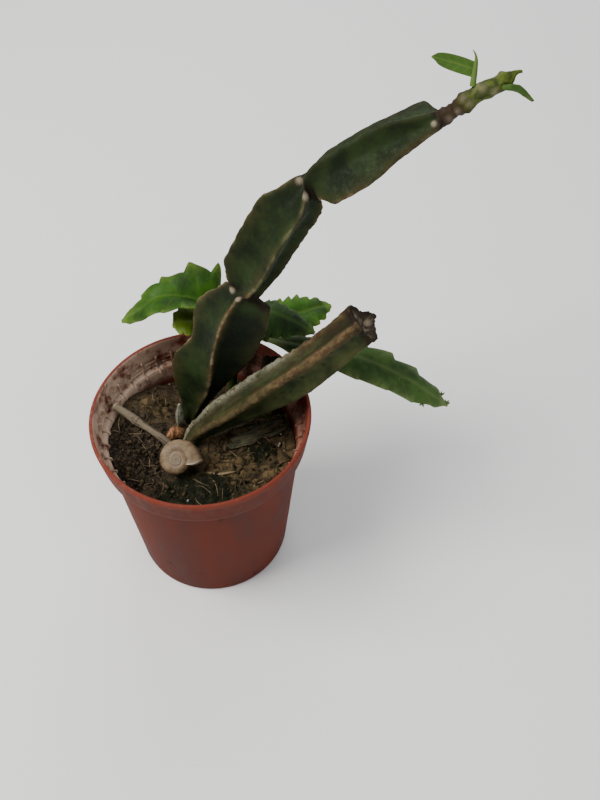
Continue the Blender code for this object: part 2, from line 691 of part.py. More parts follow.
def make_tip_leaflet(group, finish):
    """Claw-like leaflet that curls down beside the tip bud."""
    dense = smooth_path([(102.0, 22.6, 224.7), (103.2, 23.2, 224.4), (104.7, 24.2, 223.5),
                         (106.2, 25.0, 222.5), (108.8, 25.4, 220.4), (111.2, 25.4, 218.3)])
    total = lengths_along(dense)
    rings = []
    for k in range(9):
        t = k / 8
        centre, direction = point_at(dense, total, t * total[-1])
        right, front = axes_at(direction)
        wide, thick = 1.15 * math.sin(math.pi * (0.25 + 0.68 * t)) ** 0.6, 0.7
        flat = [Vector((wide * math.cos(a), thick * math.sin(a)))
                for a in (2 * math.pi * n / 10 for n in range(10))]
        rings.append([centre + right * q.x + front * q.y for q in flat])
    return loft("tip_leaflet", rings, finish, group)


# Snail shell: degrees round its axis, from the side that points to +X, and the whorl's radius there
SHELL_GIRTH = ((0.0, 12.0), (45.0, 10.0), (90.0, 8.4), (135.0, 7.6), (180.0, 6.8), (225.0, 6.3),
               (270.0, 6.1), (303.0, 6.0), (330.0, 8.8), (345.0, 11.0), (360.0, 12.0))
SHELL_PLACE = (-10.9, -12.4)
SHELL_HALF = 5.4       # half its height along the axis
SHELL_TILT = math.radians(32.0)
SEAM_START = 300.0     # the whorls narrow from the lip round to here
SEAM_DEPTH = 0.5


def make_shell(group, finish):
    """Empty snail shell that lies spire up: whorls that widen round to the lip, and their seam."""
    bm = bmesh.new()
    bmesh.ops.create_uvsphere(bm, u_segments=28, v_segments=15, radius=1.0)
    for vert in bm.verts:
        level = max(-1.0, min(1.0, vert.co.z))
        round_ = math.atan2(vert.co.y, vert.co.x)
        away = table_value(SHELL_GIRTH, math.degrees(round_) % 360.0, 1) * math.sqrt(1.0 - level ** 2)
        grown = ((SEAM_START - math.degrees(round_)) % 360.0) / 360.0
        to_seam = min(abs(away - 3.0 - 1.5 * grown), abs(away - 1.2 - 1.0 * grown))
        seam = SEAM_DEPTH * math.exp(-(to_seam / 0.6) ** 2) if level > 0.0 else 0.0
        spire = 0.9 * math.exp(-(away / 3.2) ** 2) if level > 0.0 else 0.0
        vert.co = Vector((away * math.cos(round_), away * math.sin(round_), SHELL_HALF * level + spire - seam))
    turn = Matrix.Rotation(SHELL_TILT, 3, "X")
    height = resting_height(bm.verts, turn, *SHELL_PLACE) + GAP
    made = add_mesh("snail_shell", bm, finish, group, 60.0)
    made.scale = Vector((MM, MM, MM))
    made.rotation_euler.x = SHELL_TILT
    made.location = Vector((*SHELL_PLACE, height)) * MM
    return made


def make_twig(group, finish):
    """Dry twig that lies from the soil up against the pot's inner wall."""
    low = Vector((-13.5, -2.5, soil_height(-13.5, -2.5) + 2.2))
    high = Vector((-38.2, 10.2, 80.0))
    points, radii = [], []
    for k in range(7):
        t = k / 6
        bow = 0.7 * math.sin(math.pi * t) + 0.35 * math.sin(9.0 * t)
        points.append(low.lerp(high, t) + Vector((0.0, 0.0, bow)))
        radii.append(lerp(1.3, 1.6, t) * (1.12 if k == 4 else 1.0))
    return tube("twig", points, radii, finish, group, resolution=2)


HUSK_PLACE = (-12.2, 2.8)
HUSK_TURN = math.radians(20.0)


def make_husk(group, finish):
    """Dry papery scale that stands beside the stems."""
    bm = bmesh.new()
    bmesh.ops.create_uvsphere(bm, u_segments=14, v_segments=9, radius=1.0)
    for vert in bm.verts:
        x, y, z = vert.co
        vert.co = Vector((3.4 * x * (1.0 - 0.35 * z), 1.7 * y + 0.5 * z, 3.3 * z))
    turn = Matrix.Rotation(HUSK_TURN, 3, "Z")
    height = resting_height(bm.verts, turn, *HUSK_PLACE) + GAP
    made = add_mesh("husk", bm, finish, group, 60.0)
    made.scale = Vector((MM, MM, MM))
    made.rotation_euler.z = HUSK_TURN
    made.location = Vector((*HUSK_PLACE, height)) * MM
    return made


def make_sprout(group, finish):
    """Small grey shoot that stands in the soil in front of the main stem."""
    x, y = SPROUT_PLACE
    ground = soil_height(x, y)
    points = [Vector((x, y, ground - 8.0)), Vector((x, y, ground + 1.0)),
              Vector((x + 0.2, y, ground + 3.5)), Vector((x + 0.5, y, ground + 7.0)),
              Vector((x + 0.9, y, ground + 11.0)), Vector((x + 1.2, y, ground + 15.0))]
    return tube("sprout", points, [0.9, 1.0, 1.4, 1.75, 1.4, 0.4], finish, group, resolution=1)


SPROUT_PLACE = (-11.2, 8.4)
SPROUT_HOLE = 1.4


def make_withered(name, run, group, finish):
    """Shrivelled strip of an old stem that lies along the soil."""
    points = [Vector((x, y, soil_height(x, y) + 1.7)) for x, y in run]
    dense = smooth_path(points)
    total = lengths_along(dense)
    rings = []
    for k in range(13):
        t = k / 12
        centre, direction = point_at(dense, total, t * total[-1])
        right, front = axes_at(direction, Vector((0.0, 0.0, 1.0)))
        wide = 2.1 * (0.45 + 0.55 * math.sin(math.pi * t)) * (1.0 + 0.18 * math.sin(11.0 * t))
        flat = [Vector((wide * math.cos(a), 0.85 * math.sin(a)))
                for a in (2 * math.pi * n / 8 for n in range(8))]
        rings.append([centre + right * q.x + front * q.y for q in flat])
    return loft(name, rings, finish, group)


WITHERED = (
    ("withered_strip_1", ((3.0, 4.4), (8.6, 8.2), (14.4, 11.8), (20.0, 14.4))),
    ("withered_strip_2", ((11.0, 2.4), (18.0, 4.4), (26.0, 8.4), (33.0, 12.6))),
)


def main():
    clear_scene()
    plant = collection("potted_veldt_grape")
    cutters = collection("cutters")
    green = material("winged stem", (0.075, 0.115, 0.022), 0.45)
    bark = material("corky stem", (0.16, 0.14, 0.065), 0.6)
    leaf = material("leaf", (0.12, 0.22, 0.03), 0.42)
    dark_leaf = material("dark leaf", (0.04, 0.065, 0.03), 0.5)
    dry = material("dry plant matter", (0.17, 0.085, 0.035), 0.85)
    grey = material("grey wood", (0.22, 0.19, 0.15), 0.85)
    bone = material("shell", (0.62, 0.53, 0.42), 0.5)
    clay = material("pot", (0.29, 0.07, 0.04), 0.5)
    humus = material("soil", (0.022, 0.014, 0.009), 0.95)

    make_pot(plant, cutters, clay)
    holes = [("main_stem", MAIN_BASE, HOLE_RADIUS, PEG_DEPTH + 1.5),
             ("cut_stem", CUT_BASE, HOLE_RADIUS, PEG_DEPTH + 1.5),
             ("old_stub", STUB_BASE, HOLE_RADIUS, PEG_DEPTH + 1.5),
             ("kalanchoe", tuple(KALANCHOE_BASE), KALANCHOE_RADIUS + 0.4, PEG_DEPTH * 0.7 + 1.0),
             ("sprout", SPROUT_PLACE, SPROUT_HOLE, 9.0)]
    make_soil(plant, cutters, humus, holes)
    make_main_stem(plant, green)
    make_shoot_leaf(plant, leaf)
    make_tip_leaflet(plant, leaf)
    make_cut_stem(plant, bark)
    make_old_stub(plant, bark)
    make_kalanchoe_stem(plant, leaf)
    make_leaves(plant, leaf, dark_leaf)
    make_shell(plant, bone)
    make_twig(plant, grey)
    make_husk(plant, dry)
    make_sprout(plant, grey)
    for name, run in WITHERED:
        make_withered(name, run, plant, dry)


main()
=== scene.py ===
# %% [markdown]
# # A potted veldt grape
# Four-winged green stems stand in a 9 cm nursery pot, with a toothed Kalanchoe seedling
# behind them and an empty snail shell on the soil. This lesson dresses the packed solids:
# each piece is rebuilt finer in the same place, and gets a finish made of shader nodes.
# We first load the solids, which are the frame that everything is fitted to, and note their box.

# %% Load the frame
import math

import bmesh
import bpy
import numpy as np
from mathutils import Matrix, Vector


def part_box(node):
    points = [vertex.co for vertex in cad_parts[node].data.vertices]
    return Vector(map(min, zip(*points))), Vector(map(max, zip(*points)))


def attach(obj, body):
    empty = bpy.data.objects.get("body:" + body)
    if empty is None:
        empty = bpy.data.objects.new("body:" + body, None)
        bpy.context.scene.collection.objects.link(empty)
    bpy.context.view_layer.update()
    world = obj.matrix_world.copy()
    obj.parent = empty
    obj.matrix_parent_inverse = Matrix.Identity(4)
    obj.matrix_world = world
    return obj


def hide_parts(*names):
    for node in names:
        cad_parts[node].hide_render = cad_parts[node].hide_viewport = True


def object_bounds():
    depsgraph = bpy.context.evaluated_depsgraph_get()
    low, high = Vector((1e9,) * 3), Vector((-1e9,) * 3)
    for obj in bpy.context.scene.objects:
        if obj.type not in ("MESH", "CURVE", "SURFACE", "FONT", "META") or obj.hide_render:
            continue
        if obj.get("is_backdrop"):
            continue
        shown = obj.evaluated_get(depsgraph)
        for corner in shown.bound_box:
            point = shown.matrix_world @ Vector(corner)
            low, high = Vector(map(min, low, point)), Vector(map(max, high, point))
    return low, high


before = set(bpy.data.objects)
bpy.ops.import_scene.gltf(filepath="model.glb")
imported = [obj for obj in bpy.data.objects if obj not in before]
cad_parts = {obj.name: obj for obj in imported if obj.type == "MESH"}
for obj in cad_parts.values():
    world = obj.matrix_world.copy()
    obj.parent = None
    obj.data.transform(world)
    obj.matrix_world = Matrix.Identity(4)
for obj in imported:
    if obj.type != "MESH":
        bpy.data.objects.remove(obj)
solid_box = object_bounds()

print("solids:", ", ".join(sorted(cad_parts)))

# %% [markdown]
# ## Camera
# The plant was looked at from in front and above. A pinhole fitted to the two ellipses of the
# pot gives the camera's height, its downward angle and a slight roll.

# %% Camera
MM = 0.001
LOOK_DOWN, ROLL = math.radians(51.8), math.radians(0.84)
CAMERA_AT = Vector((40.15, -221.27, 379.84)) * MM
FILM_WIDTH, FOCAL_LENGTH = 36.0, 40.5
ahead = Vector((0.0, math.cos(LOOK_DOWN), -math.sin(LOOK_DOWN)))
level = Vector((1.0, 0.0, 0.0))
above = level.cross(ahead)
right_of_view = level * math.cos(ROLL) + above * math.sin(ROLL)
top_of_view = above * math.cos(ROLL) - level * math.sin(ROLL)

lens = bpy.data.cameras.new("camera")
lens.sensor_width, lens.lens = FILM_WIDTH, FOCAL_LENGTH
lens.clip_start = 0.01
camera = bpy.data.objects.new("camera", lens)
turned_to = Matrix((right_of_view, top_of_view, -ahead)).transposed().to_4x4()
camera.matrix_world = Matrix.Translation(CAMERA_AT) @ turned_to
bpy.context.scene.collection.objects.link(camera)
bpy.context.scene.camera = camera
print("camera stands", round(camera.location.length * 1000), "mm from the pot's foot")

# %% [markdown]
# ## Light and floor
# A large soft lamp high on the left does most of the work, as a window would. A weak one on the
# right and the pale sky keep the shaded wings readable. The floor is plain and pale.

# %% Lamps
MIDDLE = Vector((0.03, 0.0, 0.1))     # of the plant, in metres


def lamp(name, place, size, watts, colour):
    """Square soft lamp that points at the middle of the plant."""
    data = bpy.data.lights.new(name, "AREA")
    data.size, data.energy, data.color = size, watts, colour
    made = bpy.data.objects.new(name, data)
    made.location = place
    made.rotation_euler = (MIDDLE - made.location).to_track_quat("-Z", "Y").to_euler()
    bpy.context.scene.collection.objects.link(made)
    return made


lamp("window", Vector((-0.50, -0.12, 0.85)), 0.55, 12.0, (1.0, 0.98, 0.95))
lamp("room", Vector((0.70, -0.55, 0.55)), 0.80, 2.8, (0.96, 0.98, 1.0))
lamp("behind", Vector((0.10, 0.75, 0.60)), 0.70, 3.4, (1.0, 1.0, 1.0))

sky = bpy.data.worlds.new("sky")
sky.use_nodes = True
sky.node_tree.nodes["Background"].inputs["Color"].default_value = (0.95, 0.97, 1.0, 1.0)
sky.node_tree.nodes["Background"].inputs["Strength"].default_value = 0.42
bpy.context.scene.world = sky
print("lamps:", len(bpy.data.lights))

# %% [markdown]
# ## Finishes from nodes
# Every finish starts from one Principled shader. A small helper class keeps the node work
# readable: `grain` is noise at a real size in millimetres, `mark` reads a mask that the mesh
# carries, `window` picks out a part of a value's range, `layer` lays one colour over another,
# `mottle` mixes two by a value and `relief` turns a height into bump. Numbers that are the same
# all over go on the shader itself.

# %% Colours
def shade(red, green, blue):
    """Linear colour of an ordinary screen colour from 0 to 255."""
    return tuple((c / 255.0 / 12.92 if c < 10.3 else ((c / 255.0 + 0.055) / 1.055) ** 2.4)
                 for c in (red, green, blue)) + (1.0,)


print("mid grey is", round(shade(128, 128, 128)[0], 3), "as a linear colour")

# %% [markdown]
# The first half of the helper holds what a pattern starts from: the shader, the piece's own
# coordinates, noise, foam and the masks. Sizes are real ones, so a grain stays as fine as it is
# meant to be on a big piece and on a small one.

# %% Where patterns come from
class Patterns:
    def __init__(self, name, **fixed):
        self.made = bpy.data.materials.new(name)
        self.made.use_nodes = True
        self.tree = self.made.node_tree
        self.shader = self.tree.nodes["Principled BSDF"]
        for socket, value in fixed.items():
            self.shader.inputs[socket.replace("_", " ")].default_value = value
        self.place = self.node("ShaderNodeTexCoord").outputs["Object"]
        self.bump = None

    def node(self, kind, links=(), **settings):
        """A node with its settings, and values or links for its input sockets."""
        made = self.tree.nodes.new(kind)
        for key, value in settings.items():
            setattr(made, key, value)
        for socket, value in dict(links).items():
            if isinstance(value, bpy.types.NodeSocket):
                self.tree.links.new(value, made.inputs[socket])
            else:
                made.inputs[socket].default_value = value
        return made

    def scaled(self, size, stretch=(1.0, 1.0, 1.0)):
        """Places in units of size millimetres, longer along an axis by its stretch."""
        links = {"Vector": self.place, "Scale": tuple(1.0 / (size * MM * s) for s in stretch)}
        return self.node("ShaderNodeMapping", links).outputs["Vector"]

    def grain(self, size, detail=3.0, rough=0.55, stretch=(1.0, 1.0, 1.0)):
        """Noise with lumps of the given size."""
        return self.node("ShaderNodeTexNoise", {
            "Vector": self.scaled(size, stretch), "Scale": 1.0,
            "Detail": detail, "Roughness": rough}).outputs["Fac"]

    def cells(self, size):
        """Foam: the distance to the nearest wall between two cells."""
        return self.node("ShaderNodeTexVoronoi", {"Vector": self.scaled(size), "Scale": 1.0},
                         feature="DISTANCE_TO_EDGE").outputs["Distance"]

    def mark(self, name):
        """A mask that the mesh carries."""
        return self.node("ShaderNodeAttribute", attribute_name=name).outputs["Fac"]


print("patterns:", ", ".join(name for name in vars(Patterns) if name[0] != "_"))

# %% [markdown]
# The second half puts patterns together: it narrows them, lays colours over each other, and sends
# the result to the shader's colour, roughness or bump.

# %% A helper for finishes
class Finish(Patterns):
    def window(self, value, low, high, start=0.0, end=1.0):
        """From start to end while the value goes from low to high."""
        return self.node("ShaderNodeMapRange", {
            "Value": value, "From Min": low, "From Max": high, "To Min": start, "To Max": end},
            interpolation_type="SMOOTHSTEP").outputs["Result"]

    def both(self, a, b, how="MULTIPLY"):
        """Two values multiplied, or added, and kept from 0 to 1."""
        return self.node("ShaderNodeMath", {0: a, 1: b}, operation=how, use_clamp=True).outputs[0]

    def layer(self, share, under, over):
        """One colour over another, where the share is 1."""
        links = {0: share, 6: under, 7: over}
        return self.node("ShaderNodeMix", links, data_type="RGBA").outputs[2]

    def mottle(self, value, low, high, under, over):
        """Two colours that change where the value passes from low to high."""
        return self.layer(self.window(value, low, high), under, over)

    def paint(self, colour):
        self.tree.links.new(colour, self.shader.inputs["Base Color"])

    def dull(self, value, low, high):
        """Roughness from low to high along with the value."""
        rough_share = self.window(value, 0.25, 0.75, low, high)
        self.tree.links.new(rough_share, self.shader.inputs["Roughness"])

    def relief(self, height, depth):
        """Adds bump of the given depth in millimetres on top of what is there."""
        links = {"Height": height, "Distance": depth * MM}
        if self.bump:
            links["Normal"] = self.bump
        self.bump = self.node("ShaderNodeBump", links).outputs["Normal"]
        self.tree.links.new(self.bump, self.shader.inputs["Normal"])


print("tools of a finish:", ", ".join(name for name in vars(Finish) if name[0] != "_"))

# %% [markdown] The floor is one big square at height zero.

# %% Floor
mesh = bpy.data.meshes.new("floor")
mesh.from_pydata([(-4, -4, 0), (4, -4, 0), (4, 4, 0), (-4, 4, 0)], [], [(0, 1, 2, 3)])
floor = bpy.data.objects.new("floor", mesh)
bpy.context.scene.collection.objects.link(floor)
pale = Finish("pale floor", Roughness=0.9)
pale.paint(pale.layer(pale.grain(300.0), (0.87, 0.87, 0.86, 1.0), (0.90, 0.90, 0.89, 1.0)))
floor.data.materials.append(pale.made)
floor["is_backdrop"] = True
print("floor is laid at z = 0")

# %% [markdown]
# ## Numbers that grow shapes
# A plant is never even. `noise` gives soft lumps of a chosen size in millimetres, always the same
# ones, and `rough` piles finer lumps on coarser ones. `near_spots` marks small listed places. All
# take many points at once with numpy, which keeps so fine a mesh quick to make.

# %% Noise
def noise(points, lump, seed=0):
    """Soft values from -1 to 1 at points in millimetres."""
    q = np.asarray(points, float) / lump + 31.7 * seed + 500.0
    cell = np.floor(q).astype(np.int64)
    part = q - cell
    part = part * part * (3.0 - 2.0 * part)
    total = 0.0
    for corner in np.ndindex(2, 2, 2):
        at = cell + np.array(corner)
        key = at[..., 0] * 374761393 + at[..., 1] * 668265263 + at[..., 2] * 1440662683
        key = (key ^ (key >> 13)) * 1274126177 % 4294967296
        key = (key ^ (key >> 16)) & 0xFFFF
        total = total + np.prod(np.where(corner, part, 1.0 - part), axis=-1) * (key / 32767.5 - 1.0)
    return total


def rough(points, lump, seed=0, layers=3):
    return sum(noise(points, lump / 2.1 ** k, seed + k) * 0.52 ** k for k in range(layers))


def ease(t):
    t = np.clip(t, 0.0, 1.0)
    return t * t * (3.0 - 2.0 * t)


def blend(a, b, t):
    return a + (b - a) * t


def near_spots(points, spots, sharpness=2):
    """1 at each spot, fading round it. A spot is x, y, z and a radius."""
    return np.max([np.exp(-(np.linalg.norm(points - spot[:3], axis=-1) / spot[3]) ** sharpness)
                   for spot in np.array(spots)], axis=0)


print("a test lump:", round(float(noise(np.array([1.0, 2.0, 3.0]), 5.0)), 3))

# %% [markdown]
# Every stem, leaf and twig follows a path. `smooth_path` leads a curve through a few given points,
# `walk` finds places and directions at given distances along it, and `axes` gives the two
# directions across it, so that a section keeps facing the same way.

# %% Paths
def unit(v):
    return v / np.maximum(np.linalg.norm(v, axis=-1, keepdims=True), 1e-9)


def curve_between(a, b, c, d, t):
    """Catmull-Rom: the point at t between b and c."""
    return 0.5 * (2 * b + (c - a) * t + (2 * a - 5 * b + 4 * c - d) * t ** 2
                  + (3 * b - a - 3 * c + d) * t ** 3)


def smooth_path(points, steps=16):
    p = np.asarray(points, float)
    p = np.vstack([2 * p[:1] - p[1:2], p, 2 * p[-1:] - p[-2:-1]])
    t = (np.arange(steps) / steps)[:, None]
    runs = [curve_between(*p[k:k + 4], t) for k in range(len(p) - 3)]
    return np.vstack(runs + [p[-2:-1]])


def lengths(path):
    return np.concatenate([[0.0], np.cumsum(np.linalg.norm(np.diff(path, axis=0), axis=1))])


def walk(path, s, reach=1.3):
    """Places on a path at the distances s, and the directions there."""
    along = lengths(path)

    def place(distance):
        d = np.clip(distance, 0, along[-1])
        return np.stack([np.interp(d, along, path[:, k]) for k in range(3)], -1)

    return place(s), unit(place(s + reach) - place(s - reach))


FRONT = np.array([0.0, -0.618, 0.786])     # towards the camera


def axes(along, facing=FRONT):
    right = unit(np.cross(along, facing))
    return right, unit(np.cross(right, along))


def round_angles(count):
    """A full turn cut into even steps."""
    return np.linspace(0.0, math.tau, count, endpoint=False)


print("a path through 3 points has", len(smooth_path(np.eye(3))), "places")

# %% [markdown]
# ## From rows of points to a piece
# Stems, pots and rods are all rows of points, one ring after another. `skin` joins neighbouring
# rows with faces, and `add_piece` makes the object: it stores masks on the points for the finish
# to read, points the faces outwards, and ties the piece to the frame.

# %% Making pieces
def add_piece(name, points, faces, finish, replaces=(), masks=None, sharp=180.0):
    """Object from points in millimetres. masks gives one number a point for each name."""
    mesh = bpy.data.meshes.new(name)
    mesh.from_pydata((np.asarray(points) * MM).tolist(), [], faces)
    for mask, values in (masks or {}).items():
        stored = mesh.attributes.new(mask, "FLOAT", "POINT")
        stored.data.foreach_set("value", np.asarray(values, np.float32))
    bm = bmesh.new()
    bm.from_mesh(mesh)
    bmesh.ops.recalc_face_normals(bm, faces=bm.faces)
    bm.to_mesh(mesh)
    bm.free()
    mesh.shade_smooth()
    if sharp < 180.0:
        mesh.set_sharp_from_angle(angle=math.radians(sharp))
    mesh.materials.append(finish.made)
    made = bpy.data.objects.new(name, mesh)
    bpy.context.scene.collection.objects.link(made)
    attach(made, "root")
    if replaces:
        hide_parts(*replaces)
    print(f"{name}: {len(mesh.vertices)} points, {sum(len(f) - 2 for f in faces)} triangles")
    return made


print("pieces are scaled by", MM)

# %% [markdown]
# `skin` and `spread` belong together: the first closes both ends of the rows round one more point,
# its hub, and the second gives a mask its values on those two hubs.

# %% Rows to faces
def skin(rows):
    """Points of rows in one list, and faces round and between them, closed at both ends."""
    count, sides, _ = rows.shape
    grid = np.arange(count * sides).reshape(count, sides)
    turn = np.roll(grid, -1, axis=1)
    faces = np.stack([grid[:-1], turn[:-1], turn[1:], grid[1:]], -1).reshape(-1, 4).tolist()
    for row, hub in ((0, count * sides), (-1, count * sides + 1)):
        faces += [[int(a), int(b), hub] for a, b in zip(grid[row], turn[row])]
    hubs = np.stack([rows[0].mean(0), rows[-1].mean(0)])
    return np.vstack([rows.reshape(-1, 3), hubs]), faces


def spread(values):
    """Mask values of rows, with the two hubs added."""
    return np.concatenate([values.reshape(-1), [values[0].mean(), values[-1].mean()]])


def gather(parts):
    """Several (points, faces) as one."""
    points, faces, start = [], [], 0
    for p, f in parts:
        points.append(p)
        faces += [[k + start for k in face] for face in f]
        start += len(p)
    return np.vstack(points), faces


print("a square tube of 2 rows has", len(skin(np.zeros((2, 4, 3)))[1]), "faces")

# %% [markdown]
# A rod is the plainest use of rows: circles along a path, with a radius for every point that the
# path was led through. Twig, fibres and stalks are all rods.

# %% Rods
def from_middle(rows):
    """Direction of each point away from the middle of its row."""
    return unit(rows - rows.mean(1, keepdims=True))


def rod(points, radii, sides=10, step=0.8, wobble=0.0, seed=0):
    """Rows of a rod through points with a radius at each, and how far along each row is."""
    path = smooth_path(points)
    along = lengths(path)
    s = np.linspace(0.0, along[-1], max(4, int(along[-1] / step)))
    centre, onward = walk(path, s, 0.5)
    right, front = axes(onward)
    radius = np.interp(s, along[::16], radii)[:, None]
    angle = round_angles(sides)
    out = right[:, None] * np.cos(angle)[:, None] + front[:, None] * np.sin(angle)[:, None]
    rows = centre[:, None] + out * radius[..., None]
    if wobble:
        rows += out * (wobble * rough(rows, 2.5, seed))[..., None]
    return rows, s / along[-1]


print("a test rod has", len(rod(np.eye(3), [1.0] * 3)[0]), "rows")

# %% [markdown]
# ## The pot
# It is a thin moulded nursery pot: a cone with a deeper band at the rim, drain holes in its foot
# and small ribs inside that keep stacked pots from jamming. It could be a cylinder with loops cut
# in, but a profile turned round the axis gives every radius of the wall from one list.

# %% Pot shape
POT_HEIGHT, BAND_HEIGHT, WALL, BOTTOM = 89.5, 12.7, 1.3, 1.6
BAND_FOOT, WALL_TOP, BASE = 43.4, 40.8, 34.2


def pot_outer(z):
    return BASE + (WALL_TOP - BASE) * z / (POT_HEIGHT - BAND_HEIGHT)


def short_runs(points, step):
    """Straight runs of a profile cut into short pieces."""
    out = []
    for a, b in zip(points, points[1:]):
        count = max(1, int(math.dist(a, b) / step))
        out += [(blend(a[0], b[0], k / count), blend(a[1], b[1], k / count)) for k in range(count)]
    return np.array(out + [points[-1]])


outside = [(33.0, 0.0), (33.6, 0.15), (34.1, 0.7), (pot_outer(2.0), 2.0), (pot_outer(76.0), 76.0),
           (41.1, 76.35), (42.9, 76.6), (BAND_FOOT - 0.05, 76.95), (43.55, 78.0), (44.85, 87.2),
           (45.0, 88.3), (44.95, 88.9), (44.6, 89.35), (44.1, 89.5)]
inside = [(43.6, 89.35), (43.3, 88.9), (43.05, 87.8), (42.2, 77.9), (41.9, 77.3), (39.8, 76.6),
          (39.45, 75.9), (pot_outer(2.8) - WALL, 2.8), (33.0, 1.8), (32.0, BOTTOM)]
profile = np.vstack([[[29.5, 0.0]], short_runs(outside, 1.6), short_runs(inside, 1.6),
                     [[29.5, BOTTOM]]])
angle = round_angles(180)
rows = np.stack([profile[:, :1] * np.cos(angle), profile[:, :1] * np.sin(angle),
                 np.repeat(profile[:, 1:], len(angle), axis=1)], -1)
sag = 0.18 * noise(rows * (1, 1, 0.4), 26.0, 3) * ease(rows[..., 2] / 20.0)
rows[..., :2] *= (1.0 + sag / 40.0)[..., None]
print("profile of the pot:", len(profile), "points")

# %% [markdown]
# Small knocks near the foot show as dark nicks, so a few hollows are pressed into the wall. The
# band's foot and the rim stay crisp, because they are the lines that the eye reads first. The ribs
# are slim wedges set on the inner ledge, and two raised rings run through them.

# %% Nicks, ribs and rings
NICKS = ((-2.8, -35.6, 19.1), (20.2, -28.1, 5.2), (-19.2, -29.4, 9.4), (-15.7, -32.5, 23.1),
         (28.4, -21.5, 9.0), (9.3, -39.1, 71.0), (-31.0, 18.0, 14.0), (6.0, 36.5, 31.0))
for nick in NICKS:
    near = np.exp(-(np.linalg.norm(rows - nick, axis=-1) / 0.9) ** 2)
    rows[..., :2] *= (1.0 - 0.012 * near)[..., None]
pot_points, pot_faces = skin(rows)

LEDGE_HEIGHTS = (75.9, 76.6, 77.3, 77.9, 87.8)
LEDGE_RADII = (39.45, 39.8, 41.9, 42.2, 43.05)


def wedge(bearing, wide, low, high, deep):
    """Slim upright rib on the inner wall."""
    out = []
    for z in np.linspace(low, high, 7):
        wall = np.interp(z, LEDGE_HEIGHTS, LEDGE_RADII)
        for across, inward in ((-wide, -0.5), (-0.5 * wide, deep),
                               (0.5 * wide, deep), (wide, -0.5)):
            a = bearing + across / wall
            out.append(((wall - inward) * math.cos(a), (wall - inward) * math.sin(a), z))
    return np.array(out).reshape(7, 4, 3)


FIRST_RIB, RIB_STEP = 6.5, 9.73                   # degrees round the pot
RINGS = ((42.25, 78.3), (42.5, 80.3))             # radius and height
RING_SECTION = ((0.3, -0.38), (-0.55, -0.20), (-0.55, 0.20), (0.3, 0.38))
ribs = [skin(wedge(math.radians(FIRST_RIB + RIB_STEP * k), 0.55, 75.2, 82.6, 1.0))
        for k in range(37)]
rings = [skin(np.array([[((r + a) * math.cos(t), (r + a) * math.sin(t), z + b)
                         for a, b in RING_SECTION] for t in np.linspace(0, math.tau, 181)]))
         for r, z in RINGS]
print("ribs:", len(ribs), "rings:", len(rings))

# %% [markdown]
# The pot's finish has three ages of plastic in one: dull red-brown outside with faint upright
# flow marks, a cleaner red on the handled rim and the inner wall, and over that inner wall a
# chalky film of dried soil water in patches. Dust clings to the left of the band, and grime
# follows the rings. Each mask is worked out from a point's height and its side of the pot.

# %% Pot finish
plastic = Finish("red nursery plastic", Specular_IOR_Level=0.14)
flow = plastic.grain(16.0, 4.0, 0.6, (1.0, 1.0, 3.5))
speck = plastic.grain(1.1, 2.0)
wall_colour = plastic.mottle(flow, 0.35, 0.68, shade(74, 29, 19), shade(94, 40, 26))
wall_colour = plastic.layer(plastic.mark("wear"), wall_colour, shade(114, 50, 37))
film = plastic.both(plastic.mark("film"), plastic.window(plastic.grain(7.0, 5.0, 0.65), 0.32, 0.54))
chalky = plastic.layer(speck, shade(190, 156, 132), shade(230, 206, 182))
wall_colour = plastic.layer(film, wall_colour, chalky)
dust = plastic.both(plastic.mark("dust"), plastic.window(plastic.grain(3.2, 5.0, 0.7), 0.42, 0.72))
wall_colour = plastic.layer(dust, wall_colour, shade(132, 98, 84))
grime = plastic.both(plastic.mark("grime"), plastic.window(speck, 0.3, 0.6))
wall_colour = plastic.layer(grime, wall_colour, shade(46, 30, 22))
plastic.paint(plastic.layer(plastic.mark("nick"), wall_colour, shade(32, 19, 14)))
plastic.dull(plastic.both(film, flow, "ADD"), 0.60, 0.80)
plastic.relief(flow, 0.05)
plastic.relief(plastic.both(film, speck), 0.25)
print("pot finish:", len(plastic.tree.nodes), "nodes")

# %% [markdown]
# The masks come next. `within` finds the inner wall by its radius, and the direction of a point
# seen from the axis says which side of the pot it is on.

# %% Pot piece
points, faces = gather([(pot_points, pot_faces)] + ribs + rings)
radius, height = np.hypot(points[:, 0], points[:, 1]), points[:, 2]
inner_limit = np.where(height > 76.7, 42.7 + 0.12 * (height - 77.0), pot_outer(height) - 0.6)
within = (radius < inner_limit) & (height < 89.2)
side = np.degrees(np.arctan2(points[:, 1], points[:, 0])) % 360
left_side = np.exp(-((side - 165.0) / 62.0) ** 2)
dusty_side = np.exp(-((side - 195.0) / 42.0) ** 2)
masks = {
    "film": (within * np.clip(0.25 + 0.85 * left_side - 0.02 * (height - 76.0), 0, 1)
             * ease((height - 68.0) / 6.0)),
    "grime": within * np.exp(-((np.abs(height - 79.3) - 1.6) / 0.5) ** 2) * 0.8,
    "wear": np.maximum(ease((height - 86.5) / 2.2) * 0.9, within * (0.85 - 0.35 * left_side)),
    "dust": np.where(within, 0.0, ease((height - 74.0) / 8.0) * (0.10 + 0.55 * dusty_side)),
    "nick": near_spots(points, [(*nick, 0.75) for nick in NICKS], 4),
}
pot = add_piece("nursery_pot", points, faces, plastic, ["pot"], masks, 42.0)

# %% [markdown]
# Water runs out through eight holes in the foot. A Boolean modifier takes the drills away from the
# pot, which is simpler than leaving the holes open in the profile, and its result is kept as the
# pot's own mesh, so that no drill stays in the scene.

